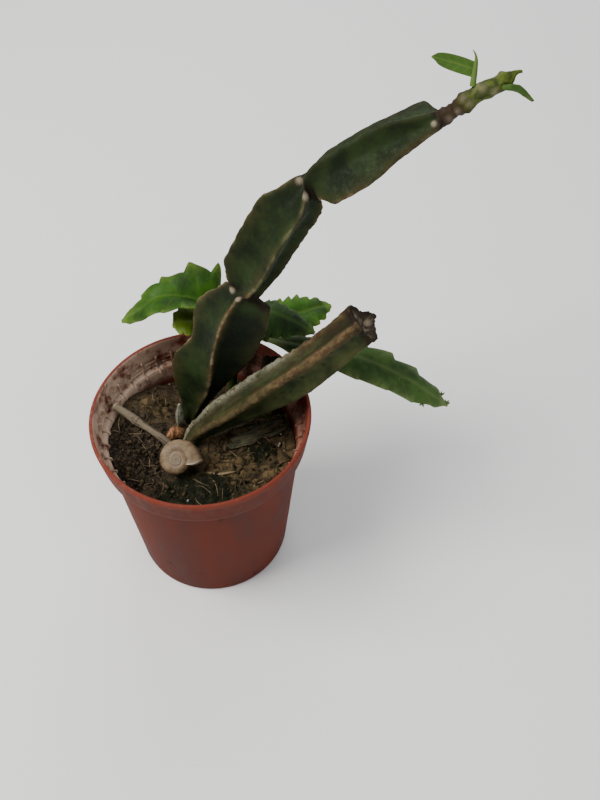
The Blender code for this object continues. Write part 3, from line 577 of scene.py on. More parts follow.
# %% Drain holes
HOLES, HOLE_CIRCLE, HOLE_RADIUS = 8, 24.0, 3.2
drills = []
for a in math.tau * np.arange(HOLES) / HOLES:
    x, y = HOLE_CIRCLE * math.cos(a), HOLE_CIRCLE * math.sin(a)
    drills.append(skin(np.array([[(x + HOLE_RADIUS * math.cos(b), y + HOLE_RADIUS * math.sin(b), z)
                                  for b in round_angles(28)] for z in (-3.0, 5.0)])))
cut_points, cut_faces = gather(drills)
mesh = bpy.data.meshes.new("drill")
mesh.from_pydata((cut_points * MM).tolist(), [], cut_faces)
drill = bpy.data.objects.new("drill", mesh)
bpy.context.scene.collection.objects.link(drill)
holes = pot.modifiers.new("drain holes", "BOOLEAN")
holes.operation, holes.object = "DIFFERENCE", drill
bpy.context.view_layer.update()
drilled = bpy.data.meshes.new_from_object(pot.evaluated_get(bpy.context.evaluated_depsgraph_get()))
pot.modifiers.clear()
pot.data = drilled
bpy.data.objects.remove(drill, do_unlink=True)
print("pot has", len(drilled.polygons), "faces and", HOLES, "drain holes")

# %% [markdown]
# ## The soil
# The fill is old potting mix: a dark fibrous heap against the back left wall, a dried crust that
# has cracked in plates on the right, and moss in front. A fine round grid follows the same surface
# as the solid, so the function that made the solid's top is written down first.

# %% Soil surface
SOIL_LEVEL = 66.0


def soil_height(x, y):
    heap = np.exp(-((x + 28.0) ** 2 + (y - 14.0) ** 2) / 15.5 ** 2)
    bank = np.exp(-((x + 39.0) / 11.0) ** 2 - ((y + 10.0) / 20.0) ** 2)
    raised = 9.5 * (1.0 - (1.0 - heap) * (1.0 - bank))
    lumps = 0.8 * np.sin(0.31 * x + 1.2) * np.cos(0.27 * y - 0.4)
    ripple = 0.45 * np.sin(0.83 * x - 0.66 * y) * np.cos(0.52 * x + 0.91 * y + 0.7)
    return SOIL_LEVEL + raised + lumps + ripple


print("the soil's heap reaches", round(float(soil_height(-28.0, 14.0)), 1), "mm")

# %% [markdown]
# Each kind of ground is a few ragged round patches. They could be painted by hand, but as
# functions of the place they serve twice: the relief, the finish and the strewn crumbs and moss
# all ask the same `zones`.

# %% Kinds of ground
def patch(x, y, cx, cy, rx, ry, ragged=0.35, seed=0):
    """Mask of a ragged patch round a centre."""
    away = np.hypot((x - cx) / rx, (y - cy) / ry)
    return ease(1.6 - away + ragged * rough(np.stack([x, y, 0 * x], -1), 4.5, seed))


def zones(x, y):
    """How much of each kind of ground there is at a place."""
    humus = patch(x, y, -31.0, -9.0, 14.0, 14.0, seed=1)
    crust = np.maximum(patch(x, y, -21.5, 15.0, 9.5, 5.5, seed=2),
                       patch(x, y, 21.0, -5.0, 22.0, 19.0, seed=3))
    moss = np.maximum(patch(x, y, -3.0, -22.5, 15.0, 8.0, seed=4),
                      patch(x, y, 23.0, -2.0, 6.0, 4.0, seed=5))
    moss = np.maximum(moss, 0.8 * patch(x, y, 8.0, -32.0, 14.0, 4.0, seed=6))
    # Painted shadow under the cut stem: the crust is taken away there, so the darker dirt shows.
    stem_shadow = patch(x, y, 23.0, 9.0, 15.0, 6.0, seed=7)
    crust = crust * (1.0 - 0.8 * humus) * (1.0 - 0.85 * stem_shadow)
    return humus, crust, moss * (1.0 - humus)


print("in front of the stems grows moss:", round(float(zones(*np.array([-3.0, -22.5]))[2]), 2))

# %% [markdown]
# Dried mud splits into plates. The border between the two nearest of many seeded points draws
# such plates, and the seams are pressed down as real cracks. Crumbs and fibres of the heap are
# noise of two sizes, pushed up where the humus is.

# %% Cracks and relief
dice = np.random.default_rng(11)
seeds = dice.uniform(-40.0, 40.0, (420, 2))


def cracks(x, y):
    """Distance to the nearest crack between the plates of the crust."""
    away = np.sort(np.hypot(x[..., None] - seeds[:, 0], y[..., None] - seeds[:, 1]), axis=-1)
    return away[..., 1] - away[..., 0]


turn = round_angles(280)
share = np.linspace(0.02, 1.0, 92)[:, None]
rim_z = np.minimum(soil_height(39.0 * np.cos(turn), 39.0 * np.sin(turn)), 75.3)
reach = share * (pot_outer(rim_z) - WALL - 0.1)
x, y = reach * np.cos(turn), reach * np.sin(turn)
ground = np.stack([x, y, soil_height(x, y)], -1)
humus, crust, moss = zones(x, y)
gap = cracks(x + 1.1 * noise(ground, 3.0, 8), y + 1.1 * noise(ground, 3.0, 9))
split = np.exp(-(gap / 0.55) ** 2) * crust
ground[..., 2] += (humus * (0.95 * rough(ground, 3.2, 20) + 0.6 * rough(ground, 1.3, 24))
                   + crust * 0.35 * rough(ground, 2.2, 28) + 0.3 * rough(ground, 2.0, 32)
                   + moss * 0.5 * rough(ground, 1.6, 36) - 0.9 * split)
print("soil surface:", ground.shape[0] * ground.shape[1], "points")

# %% [markdown]
# Three grounds share one finish. Their masks fade into each other, and a fine grain breaks up each
# colour, because soil is never one brown. Crevices and the low spots of the heap get painted shade,
# so the relief that was pressed in is also kept as a mask.

# %% Soil finish and piece
earth = Finish("potting mix", Specular_IOR_Level=0.2)
fine, coarse = earth.grain(0.9, 4.0, 0.7), earth.grain(4.5, 4.0, 0.65)
dirt = earth.mottle(coarse, 0.35, 0.68, shade(50, 41, 29), shade(80, 66, 46))
dirt = earth.layer(earth.mark("crust"), dirt,
                   earth.mottle(coarse, 0.36, 0.64, shade(66, 56, 34), shade(100, 82, 54)))
dirt = earth.layer(earth.mark("humus"), dirt,
                   earth.mottle(fine, 0.38, 0.66, shade(26, 20, 15), shade(70, 58, 45)))
moss_share = earth.both(earth.mark("moss"), earth.window(earth.grain(2.2, 4.0, 0.7), 0.40, 0.56))
dirt = earth.layer(moss_share, dirt,
                   earth.mottle(fine, 0.35, 0.68, shade(10, 13, 5), shade(28, 34, 13)))
dirt = earth.layer(earth.window(fine, 0.56, 0.70, end=0.5), dirt, shade(126, 108, 82))
pores = earth.window(earth.grain(0.7, 2.0), 0.60, 0.66)
dirt = earth.layer(earth.both(pores, 0.75), dirt, shade(24, 18, 12))
# Painted shade: cracks and hollows go dark through the crevice mask.
earth.paint(earth.layer(earth.mark("crevice_shade"), dirt, shade(22, 17, 12)))
earth.dull(fine, 0.8, 0.98)
earth.relief(coarse, 0.5)
earth.relief(fine, 0.35)

low_ring = pot_outer(3.0) - WALL - 0.3
SIDE = ((pot_outer(60.0) - WALL - 0.3, 60.0), (low_ring, 2.9), (low_ring - 1.6, 1.9))
side_rows = [np.stack([r * np.cos(turn), r * np.sin(turn), 0 * turn + z], -1) for r, z in SIDE]
rows = np.concatenate([ground, np.stack(side_rows)])
extra = np.zeros((3, len(turn)))
points, faces = skin(rows)
# Painted shade for the cracks and for the low spots of the humus heap.
deep = np.clip(0.8 * split + 0.6 * humus * ease(-1.4 * rough(ground, 3.2, 20)), 0, 1)
masks = {name: spread(np.concatenate([mask, extra])) for name, mask in
         (("humus", humus), ("crust", crust), ("moss", moss), ("crevice_shade", deep))}
add_piece("soil_fill", points, faces, earth, ["soil"], masks)

# %% [markdown]
# ## What covers the soil
# Crumbs, fibres, tufts of moss, chips of perlite and bits of straw lie on the surface. Each kind is
# one piece: a small rough stone or a thin bent rod is copied with numpy to seeded places, each copy
# turned and scaled, sunk a little into the ground and never inside a stem.

# %% Places to strew
STANDS = ((-6.5, 12.5, 6.0), (-5.4, 1.2, 6.0), (25.0, 18.5, 5.5), (10.0, 31.0, 3.5),
          (-11.2, 8.4, 2.0))     # where a stem stands, and its radius


def places(count, weight, seed, edge=37.0):
    """Seeded places on the soil where the weight is high and no stem stands."""
    dice = np.random.default_rng(seed)
    found = np.zeros((0, 2))
    while len(found) < count:
        tried = dice.uniform(-edge, edge, (4000, 2))
        x, y = tried.T
        free = np.all([np.hypot(x - a, y - b) > r for a, b, r in STANDS], axis=0)
        kept = free & (np.hypot(x, y) < edge) & (dice.random(4000) < weight(x, y))
        found = np.vstack([found, tried[kept]])
    found = found[:count]
    return np.column_stack([found, soil_height(*found.T)]), dice


print("a test place:", places(1, lambda x, y: 1.0 + 0 * x, 1)[0].round(1))

# %% [markdown]
# A crumb is a coarse ball of twenty faces, pushed about by noise. Seven shapes are enough, because
# each copy gets its own size, its own flattening and a random turn. Blender could also scatter
# them with geometry nodes, but one mesh from numpy exports as it is.

# %% Stones
def little_stone(seed):
    """Coarse ball with its corners pushed about."""
    bm = bmesh.new()
    bmesh.ops.create_icosphere(bm, subdivisions=1, radius=1.0)
    p = np.array([v.co[:] for v in bm.verts])
    faces = [[v.index for v in f.verts] for f in bm.faces]
    bm.free()
    return p * (1.0 + 0.42 * noise(p * 3.0, 2.2, seed))[:, None], faces


def spins(dice, count):
    """Random turns as matrices."""
    q = unit(dice.normal(size=(count, 4)))
    w, x, y, z = q.T
    flat = [1 - 2 * (y * y + z * z), 2 * (x * y - w * z), 2 * (x * z + w * y),
            2 * (x * y + w * z), 1 - 2 * (x * x + z * z), 2 * (y * z - w * x),
            2 * (x * z - w * y), 2 * (y * z + w * x), 1 - 2 * (x * x + y * y)]
    return np.stack(flat, -1).reshape(-1, 3, 3)


def strew(name, count, weight, sizes, finish, seed, sink=0.15):
    """Piece made of many stones of a few shapes."""
    where, dice = places(count, weight, seed)
    size = dice.uniform(0, 1, (count, 1)) ** 2.2 * (sizes[1] - sizes[0]) + sizes[0]
    shape = size * dice.uniform(0.45, 1.15, (count, 3))
    turns = spins(dice, count)
    parts = []
    for k in range(count):
        p, f = little_stone(seed + k % 7)
        lift = size[k, 0] * (0.5 - sink)
        parts.append(((p * shape[k] / 2) @ turns[k].T + where[k] + (0, 0, lift), f))
    tint = np.repeat(dice.random(count), [len(p) for p, _ in parts])
    points, faces = gather(parts)
    return add_piece(name, points, faces, finish, masks={"tint": tint})


print("a stone has", len(little_stone(0)[1]), "faces")

# %% [markdown]
# Dark crumbs lie thickest on the humus. Perlite is the white glassy grit in potting mix: a few
# chips, mostly at the right edge, with a foam of pores as their finish.

# %% Crumbs and perlite
crumb = Finish("soil crumbs", Specular_IOR_Level=0.2)
fine = crumb.grain(0.6, 3.0, 0.7)
colour = crumb.mottle(crumb.mark("tint"), 0.1, 0.9, shade(22, 18, 13), shade(70, 58, 40))
crumb.paint(crumb.layer(crumb.window(fine, 0.45, 0.75, end=0.6), colour, shade(96, 80, 58)))
crumb.dull(fine, 0.85, 1.0)
crumb.relief(fine, 0.2)

strew("soil_crumbs", 750, lambda x, y: zones(x, y)[0] + 0.15, (0.5, 2.6), crumb, 41)

chalk = Finish("perlite", Specular_IOR_Level=0.3)
pores = chalk.cells(0.5)
chalk.paint(chalk.mottle(pores, 0.05, 0.3, shade(118, 110, 96), shade(186, 182, 170)))
chalk.dull(pores, 0.8, 0.95)
chalk.relief(pores, 0.15)
strew("perlite", 26, lambda x, y: patch(x, y, 34.0, 9.0, 4.0, 9.0) + 0.02, (0.6, 1.8),
      chalk, 43)

# %% [markdown]
# Moss is a carpet of tiny pointed leaves. At this size a three-sided spike for each shoot is
# enough, if there are many and they lean every way.

# %% Moss
def spikes(count, weight, seed, tall):
    where, dice = places(count, weight, seed, 38.0)
    parts = []
    for p in where:
        lean = dice.normal(0, 0.45, 2)
        high = dice.uniform(0.5, 1.0) * tall
        tip = p + (lean[0] * high, lean[1] * high, high)
        turn = dice.uniform(0, 6.28)
        foot = [p + (0.3 * math.cos(turn + a), 0.3 * math.sin(turn + a), -0.4)
                for a in (0, 2.1, 4.2)]
        parts.append((np.vstack([foot, [tip]]), [[0, 1, 3], [1, 2, 3], [2, 0, 3]]))
    tint = np.repeat(dice.random(count), 4)
    return gather(parts), tint


moss_green = Finish("moss", Specular_IOR_Level=0.25)
tuft = moss_green.grain(1.8, 3.0, 0.7)
fresh_moss = moss_green.layer(moss_green.mark("tint"), shade(8, 12, 5), shade(30, 37, 14))
dry_moss = moss_green.window(tuft, 0.5, 0.75, end=0.5)
moss_green.paint(moss_green.layer(dry_moss, fresh_moss, shade(66, 64, 32)))
moss_green.dull(tuft, 0.7, 0.95)
moss_green.relief(tuft, 0.1)
(points, faces), tint = spikes(5200, lambda x, y: zones(x, y)[2] ** 2 * 0.9 + 0.01, 47, 1.1)
add_piece("moss", points, faces, moss_green, masks={"tint": tint})

# %% [markdown]
# Potting mix is full of root fibres and bits of straw. They are thin rods that rise from the
# ground and come back to it. Most lie where the dice throw them, and the few bigger straws that
# the eye finds in front are listed one by one.

# %% Fibres and straws
def fibre(start, heading, long, thick, dice, lift=1.0):
    """Thin rod that lies along the ground with a hump in it."""
    s = np.linspace(0.0, 1.0, 6)
    bend = heading + dice.normal(0, 0.35) * s
    x = start[0] + long * s * np.cos(bend)
    y = start[1] + long * s * np.sin(bend)
    z = soil_height(x, y) + lift * np.sin(math.pi * s) * dice.uniform(0.3, 1.0) + 0.25
    z[0] -= 0.6
    rows, _ = rod(np.stack([x, y, z], -1), np.full(6, thick) * (1, 1, 1, 0.9, 0.8, 0.4), 4, 0.9)
    return skin(rows)


straw = Finish("dry fibre", Specular_IOR_Level=0.3)
strand = straw.grain(0.8, 3.0, 0.6)
fibre_colour = straw.layer(straw.mark("tint"), shade(66, 52, 38), shade(142, 124, 94))
straw.paint(straw.mottle(strand, 0.4, 0.7, fibre_colour, shade(104, 88, 66)))
straw.dull(strand, 0.6, 0.9)
straw.relief(strand, 0.08)
where, dice = places(50, lambda x, y: zones(x, y)[0] + 0.12, 51, 33.0)
parts = [fibre(p, dice.uniform(0, 6.28), dice.uniform(3.0, 9.0), dice.uniform(0.08, 0.2), dice)
         for p in where]
STRAWS = (((-35.6, 2.0), 1.9, 9.0, 0.28), ((31.0, -10.0), 0.7, 6.0, 0.35),
          ((21.5, -20.5), 0.5, 5.5, 0.32), ((2.0, -13.0), -0.5, 12.0, 0.7),
          ((-4.0, -16.0), -1.0, 9.0, 0.25), ((4.0, -16.5), -0.9, 9.0, 0.22))
for start, heading, long, thick in STRAWS:
    parts.append(fibre(start, heading, long, thick, dice, 0.6))
tint = np.concatenate([np.full(len(p), dice.random()) for p, _ in parts])
points, faces = gather(parts)
add_piece("fibres", points, faces, straw, masks={"tint": tint})

# %% [markdown]
# ## The winged stems
# A veldt grape's stem is a chain of internodes, each with four thin wings that swell and close
# again at the node. One cross section with four arms does for all of them: its arms' reaches
# change along the path, its corners are rounded off, and the rows are skinned. Twenty-four design
# points a section become ninety-six, so the corky margins can carry real scallops.

# %% Winged section
def winged_section(reach, turn, core, margin, lean=0.0):
    """Four wings a quarter turn apart as 24 points; the front wing can lean aside."""
    flat = np.zeros((len(reach), 24, 2))
    for k in range(4):
        angle = turn + k * math.pi / 2
        out = np.stack([np.cos(angle), np.sin(angle)], -1)
        side = np.stack([-out[:, 1], out[:, 0]], -1)
        r = reach[:, k:k + 1]
        edge = np.minimum(margin, 0.4 * r)
        shoulder = r - 0.55 * edge
        before, after = reach[:, [k - 1]], reach[:, [(k + 1) % 4]]
        low = unit(out - side) * np.maximum(core, 0.27 * (r + before))
        high = unit(out + side) * np.maximum(core, 0.27 * (r + after))
        if k == 1:
            out = np.stack([np.cos(angle + lean), np.sin(angle + lean)], -1)
            side = np.stack([-out[:, 1], out[:, 0]], -1)
        one, two = out * shoulder - side * edge, out * shoulder + side * edge
        flat[:, 6 * k:6 * k + 6] = np.stack([low, blend(low, one, 0.52) * 0.955, one, out * r, two,
                                             blend(high, two, 0.52) * 0.955], 1)
    return flat


def round_off(values, steps=4):
    """Closed smooth curve through the values of each row."""
    a, b, c, d = (np.roll(values, k, axis=1) for k in (1, 0, -1, -2))
    cuts = np.stack([curve_between(a, b, c, d, k / steps) for k in range(steps)], axis=2)
    return cuts.reshape(len(values), -1, *values.shape[2:])


AROUND = round_off(winged_section(np.full((1, 4), 9.0), np.zeros(1), 3.0, 1.1)).shape[1]
print("a section has", AROUND, "points")

# %% [markdown]
# Laid along a path, the sections become a stem. The outward direction at each point comes from
# its neighbours, and cork, scars and callus will later be pushed along it.

# %% Sections along a path
def lay_sections(path, s, reach, turn, core, margin, lean=0.0):
    """Rows of points of a winged stem, and the outward direction at each point."""
    centre, along = walk(path, s)
    right, front = axes(along)
    flat = round_off(winged_section(reach, turn, core, margin, lean))
    rows = centre[:, None] + right[:, None] * flat[..., :1] + front[:, None] * flat[..., 1:]
    onward, sideways = np.gradient(rows, axis=0), np.roll(rows, -1, 1) - np.roll(rows, 1, 1)
    outward = unit(np.cross(sideways, onward))
    outward *= np.sign(np.sum(outward * (rows - centre[:, None]), -1, keepdims=True))
    return rows, outward, along


AT_MARGIN = np.tile([0.0, 0.0, 0.45, 1.0, 0.45, 0.0], 4)      # closeness to a wing's margin
NEAR_MARGIN = np.tile([0.0, 0.15, 0.8, 1.0, 0.8, 0.15], 4)


def wing_mask(profile, strength):
    """Mask on the section's points, with a strength for each wing."""
    per_point = np.asarray(profile) * np.repeat(strength, 6, axis=-1)
    return np.clip(round_off(per_point), 0.0, 1.0)


def crenate(s, phase, depth):
    """Shallow scallops of a wing's margin, one each 6.4 mm."""
    return 1.0 - depth * (1.0 - np.abs(np.sin(math.pi * s / 6.4 + phase)))


def wing_reach(wing, t, s, phase, depth=0.022):
    """How far a wing reaches at the share t of its internode."""
    start, full, end, rise, fall = wing
    opening = (full - start) * (1.0 - ease(t / rise))
    closing = (full - end) * (1.0 - ease((1.0 - t) / fall))
    return (full - opening - closing) * crenate(s, phase, depth)


print("margin of a section:", AT_MARGIN[:6])

# %% [markdown]
# The main stem has three internodes and a young shoot. The tables say how far each wing reaches
# at the lower node, in its full width and at the upper node, and over which shares of the
# internode it opens and closes. The same table made the solid, so the fine stem fits it.

# %% Design of the main stem
FIRST = ((4.0, 15.1, 12.4, 0.70, 0.16), (3.6, 9.5, 5.8, 0.50, 0.20),
         (4.4, 14.9, 8.4, 0.42, 0.24), (3.6, 10.0, 6.0, 0.50, 0.20))
SECOND = ((6.4, 8.6, 6.4, 0.34, 0.16), (6.0, 10.4, 6.4, 0.24, 0.18),
          (7.4, 13.2, 6.8, 0.20, 0.26), (6.0, 10.0, 6.0, 0.24, 0.20))
THIRD = ((5.8, 12.4, 4.4, 0.18, 0.60), (6.2, 8.4, 4.2, 0.18, 0.40),
         (6.6, 10.6, 5.0, 0.20, 0.09), (6.0, 8.6, 4.2, 0.20, 0.40))
RUNS = (((-5.6, 12.8, 74.0), (-1.8, 14.5, 86.0), (4.2, 17.0, 104.3), (10.9, 19.0, 120.7),
         (18.8, 21.0, 137.5)),
        ((24.3, 23.0, 148.1), (30.3, 24.5, 160.3), (37.0, 26.0, 172.3), (42.9, 27.0, 182.1)),
        ((53.8, 27.5, 190.4), (65.0, 28.0, 198.4), (75.4, 28.0, 204.6), (83.7, 28.0, 209.6)))
SHOOT = (((86.8, 27.5, 212.4), 2.5), ((90.4, 27.0, 216.2), 3.5), ((94.6, 27.0, 219.9), 2.8),
         ((98.2, 27.0, 222.0), 3.0), ((101.3, 27.0, 224.0), 3.0), ((103.0, 27.0, 225.6), 1.9),
         ((104.4, 27.0, 226.9), 0.9), ((106.3, 27.0, 227.4), 0.5))
TURNS = np.radians([(-8.0, 5.0), (-25.0, -25.0), (32.0, 32.0)])
WAIST = (0.575, 0.28, 0.11)      # place, depth and half length of the lowest left wing's waist
MAIN_BASE = (-6.5, 12.5)
main_ground = float(soil_height(*MAIN_BASE))
ROOT = ((20.0, 2.4), (19.0, 3.4), (10.0, 3.4), (1.0, 3.4), (-0.6, 3.4))     # depth and radius


def root_rows(base, high):
    """Round foot of a stem, down in the soil."""
    rows = []
    right, front = axes(np.array([0.0, 0.0, 1.0]))
    for drop, r in ROOT:
        flat = round_off(winged_section(np.full((1, 4), r), np.zeros(1), r * 0.93, r * 0.5))[0]
        rows.append(np.array([*base, high - drop]) + right * flat[:, :1] + front * flat[:, 1:])
    return np.array(rows)


start = np.array([*MAIN_BASE, main_ground + 1.2])
knots = [start - (0, 0, 6.0), start]
node_at = [1]
for run in RUNS:
    knots += list(run)
    node_at.append(len(knots) - 1)
main_path = smooth_path(knots + [point for point, _ in SHOOT])
main_along = lengths(main_path)
nodes = [main_along[16 * k] for k in node_at]
print("internodes are", [round(b - a, 1) for a, b in zip(nodes, nodes[1:])], "mm long")

# %% [markdown]
# Along the stem, the sections are set half a millimetre apart. The turn of the wings changes in a
# few millimetres at each node, where the stem also has a narrow waist. The shoot is a plump rod
# with soft corners and knobs, and its last bit narrows to the folded tip leaf.

# %% Sections of the main stem
s = np.arange(nodes[0] + 0.5, main_along[-1], 0.5)
s = np.append(s, main_along[-1] - 0.02)
share = np.clip([(s - low) / (high - low) for low, high in zip(nodes, nodes[1:])], 0.0, 1.0)
reach = np.zeros((len(s), 4))
for wings, low, high, t in zip((FIRST, SECOND, THIRD), nodes, nodes[1:], share):
    grown = np.stack([wing_reach(w, t, s, 0.9 * n) for n, w in enumerate(wings)], -1)
    reach = np.where(((s >= low) & (s < high))[:, None], grown, reach)
lowest = s < nodes[1]
reach[lowest, 2] *= 1.0 - WAIST[1] * np.exp(-((share[0][lowest] - WAIST[0]) / WAIST[2]) ** 2)

young = s >= nodes[3]
knots_at = [main_along[16 * (node_at[-1] + n)] for n in range(1, len(SHOOT) + 1)]
girth = np.interp(s[young], [nodes[3]] + knots_at, [3.6] + [radius for _, radius in SHOOT])
shoot_r = girth * (1.0 + 0.06 * np.sin(math.tau * s[young] / 7.5))
reach[young] = shoot_r[:, None] * 1.06
waist = sum(np.exp(-((s - n) / 1.1) ** 2) for n in nodes[1:])
reach *= (1.0 - 0.10 * waist)[:, None]
turns = [blend(a, b, ease((t - 0.3) / 0.6)) for (a, b), t in zip(TURNS, share)]
turn = turns[0]
for now, then, n in zip(turns, turns[1:], nodes[1:]):
    turn = turn + (then - now) * ease((s - n) / 4.0 + 0.5)
core = np.where(young, np.interp(s, s[young], shoot_r * 0.9), 3.0)[:, None]
margin = np.where(young, np.interp(s, s[young], shoot_r * 0.45), 0.95)[:, None]
lean = math.radians(-26.0) * ease((1.0 - share[0]) / 0.9)      # of the lowest front ridge
rows, outward, along = lay_sections(main_path, s, reach, turn, core, margin, lean)
spine = walk(main_path, s)[0][:, None]
away = np.linalg.norm(rows - spine, axis=-1)
mean_away = away.mean(1)
round_share = 0.75 * young * (np.interp(s, s[young], shoot_r) / mean_away)
rounder = (round_share * mean_away)[:, None] / away - round_share[:, None]
rows += (rows - spine) * rounder[..., None]
print("sections:", len(s))

# %% [markdown]
# Cork is what makes this plant look old: it runs as a thin tan line along every margin, swells to
# pale callus at the nodes and leaves a dark scar round each of them. The masks follow those
# rules, and the same masks lift the surface, so that the cork can be seen and felt.

# %% Cork of the main stem
STOPS = [nodes[0], nodes[1] - 2, nodes[1] + 2, nodes[2] - 2, nodes[2] + 2, nodes[3]]
CORKINESS = ((0.35, 0.75, 0.8, 0.8, 0.75, 0.7), (0.75, 0.95, 0.85, 0.8, 0.25, 0.2),
             (1.0, 0.95, 0.75, 0.7, 0.8, 0.75), (0.8, 0.8, 0.8, 0.8, 0.7, 0.7))
strength = np.stack([np.interp(s, STOPS, wing) for wing in CORKINESS], -1)
strength[young] = 0.0
cork = wing_mask(AT_MARGIN, strength)
cork = np.clip(cork * (1.0 + 0.45 * rough(rows, 5.0, 60)), 0, 1) ** 2.6
blush = wing_mask(NEAR_MARGIN, strength) * np.clip(0.7 + 0.8 * rough(rows, 9.0, 63), 0, 1)

little = 0 * s + 0.1
second = (s > nodes[1] + 5) & (s < nodes[2])
aged = wing_mask(np.ones(24), np.stack([little, 0.1 + 0.8 * second, little, little], -1))
# Painted shade: on the lowest internode the face below the front ridge is darkened through the deep
# mask, up to just below the node.
SHADED_FACE = np.concatenate([np.zeros(4), [0.7, 1.0, 1.0, 1.0, 0.5], np.zeros(15)])
deep = wing_mask(SHADED_FACE, np.ones((len(s), 4)))
deep = deep * ease((0.97 - share[0]) / 0.08)[:, None] * lowest[:, None]
print("cork covers", round(float((cork > 0.5).mean()) * 100), "% of the stem")

# %% [markdown]
# Callus and pale knobs are small, and each sits where it does on this one plant, so they are
# listed: a place and a radius. A scar goes round the stem just above each node. All of it
# is added up to one height that pushes the skin outwards.

# %% Scars, callus and relief of the main stem
CALLUS = ((9.6, 21.0, 138.2, 1.4), (13.9, 21.1, 138.4, 1.3), (16.4, 16.0, 138.7, 1.2),
          (38.9, 27.8, 184.6, 1.4), (41.3, 21.4, 183.0, 1.4), (81.5, 25.2, 209.6, 0.95),
          (46.0, 31.5, 182.5, 1.6), (23.5, 26.5, 141.5, 1.8), (82.0, 31.0, 207.5, 1.5))
PALE_KNOBS = ((89.2, 24.9, 219.2, 1.3), (91.5, 23.8, 217.9, 1.3), (94.5, 24.9, 222.8, 1.7),
              (92.9, 27.0, 222.9, 1.8), (98.6, 24.2, 222.0, 1.4), (88.3, 24.3, 214.6, 1.2),
              (95.6, 30.0, 219.8, 1.6), (90.0, 30.4, 217.0, 1.6), (100.5, 29.4, 225.2, 1.3),
              (86.3, 24.6, 211.6, 1.3), (98.0, 27.6, 226.2, 1.2))
SCAR_WIDTHS = (1.5, 1.7, 2.2)
callus = near_spots(rows, CALLUS, 4)
pale_knob = near_spots(rows, PALE_KNOBS)
pale_knob *= young[:, None]
scar = sum(np.exp(-((s - n - 0.3) / wide) ** 2) for n, wide in zip(nodes[1:], SCAR_WIDTHS))
scar = scar[:, None] + 0 * cork
brown_shoot = ease((nodes[3] + 15.0 - s) / 9.0)[:, None] * young[:, None] + 0 * cork
green_shoot = ease((s - nodes[3] - 4.5) / 6.0)[:, None] + 0 * cork
height = (0.30 * cork * (0.6 + rough(rows, 1.4, 66)) + 0.55 * callus + 0.55 * pale_knob
          - 0.25 * scar + 0.10 * rough(rows, 3.5, 70)
          + young[:, None] * 0.22 * rough(rows, 1.9, 72)
          + 0.16 * brown_shoot * np.sin(2.6 * s)[:, None])
rows += outward * height[..., None]
print("relief from", round(height.min(), 2), "to", round(height.max(), 2), "mm")

# %% [markdown]
# The skin is waxy and mottled, darkest in the middle of each face and browner towards the
# margins. The tan of the cork is itself mixed from grey, pink and rust. All of it goes into one
# finish that both winged stems use, with a rougher sheen wherever there is cork.

# %% Stem finish
def stem_finish(name, dark, light, olive, tan, rust, flakes):
    stem = Finish(name, Specular_IOR_Level=0.14)
    clouds = stem.grain(11.0, 4.0, 0.6)
    flecks = stem.grain(1.6, 3.0, 0.7)
    green = stem.mottle(clouds, 0.34, 0.66, dark, light)
    green = stem.layer(stem.window(flecks, 0.58, 0.72, end=0.5), green, olive)
    # Painted shade: where the deep mask is, the green goes almost black.
    green = stem.layer(stem.both(stem.mark("deep"), 0.8), green, shade(9, 17, 8))
    blush = stem.both(stem.mark("blush"), stem.window(clouds, 0.3, 0.6))
    green = stem.layer(blush, green, olive)
    shoot = stem.mottle(stem.grain(2.6, 3.0), 0.38, 0.62, shade(44, 54, 14), shade(76, 88, 26))
    green = stem.layer(stem.mark("shoot"), green, shoot)
    green = stem.layer(stem.mark("brown"), green, shade(46, 34, 19))
    bark = stem.mottle(stem.grain(3.0, 3.0, 0.6), 0.38, 0.62, tan, rust)
    flaking = stem.both(stem.mark("aged"), stem.window(flecks, 0.30, 0.52))
    bark = stem.layer(flaking, bark, flakes)
    crackle = stem.window(stem.grain(0.7, 3.0, 0.7), 0.5, 0.72, end=0.7)
    bark = stem.layer(crackle, bark, shade(44, 32, 21))
    green = stem.layer(stem.mark("cork"), green, bark)
    green = stem.layer(stem.both(stem.mark("scar"), 0.85), green, shade(32, 21, 16))
    callus = stem.layer(flecks, shade(104, 92, 74), shade(168, 154, 132))
    stem.paint(stem.layer(stem.mark("callus"), green, callus))
    stem.dull(stem.both(stem.mark("cork"), flecks, "ADD"), 0.52, 0.85)
    stem.relief(clouds, 0.25)
    stem.relief(flecks, 0.05)
    stem.relief(stem.both(stem.mark("cork"), stem.grain(0.9, 4.0, 0.7)), 0.35)
    return stem


waxy = stem_finish("waxy winged stem", shade(15, 26, 8), shade(33, 47, 18), shade(52, 44, 22),
                   shade(122, 108, 80), shade(98, 72, 48), shade(92, 96, 66))

print("stem finish:", len(waxy.tree.nodes), "nodes")

# %% [markdown]
# The root rows are put in front of the stem's rows, so that all of it is one skin, and each mask
# gets empty rows for them.

# %% Main stem piece
full = np.concatenate([root_rows(MAIN_BASE, main_ground), rows])


def with_roots(mask):
    """Mask of the stem, with nothing on the rows of its root."""
    return spread(np.concatenate([np.zeros((len(ROOT), AROUND)), mask]))


points, faces = skin(full)
callus_mask = np.maximum(callus, 0.35 * pale_knob)
scar_mask = np.clip(scar * (0.5 + 0.8 * ease(rough(rows, 2.2, 75) + 0.6)), 0, 1)
main_masks = {name: with_roots(mask) for name, mask in (
    ("cork", cork), ("blush", blush), ("callus", callus_mask), ("scar", scar_mask),
    ("aged", aged), ("deep", deep), ("shoot", green_shoot), ("brown", np.clip(brown_shoot, 0, 1)))}
add_piece("winged_stem", points, faces, waxy, ["main_stem"], main_masks)

# %% [markdown]
# ## The old cut stem
# It is the same kind of stem, but years older: thinner wings, margins thick with cracked grey
# cork, an upper wing that flakes and a dried, hollow cut end. So the same sections are laid along
# its own path, with its own table of wings.

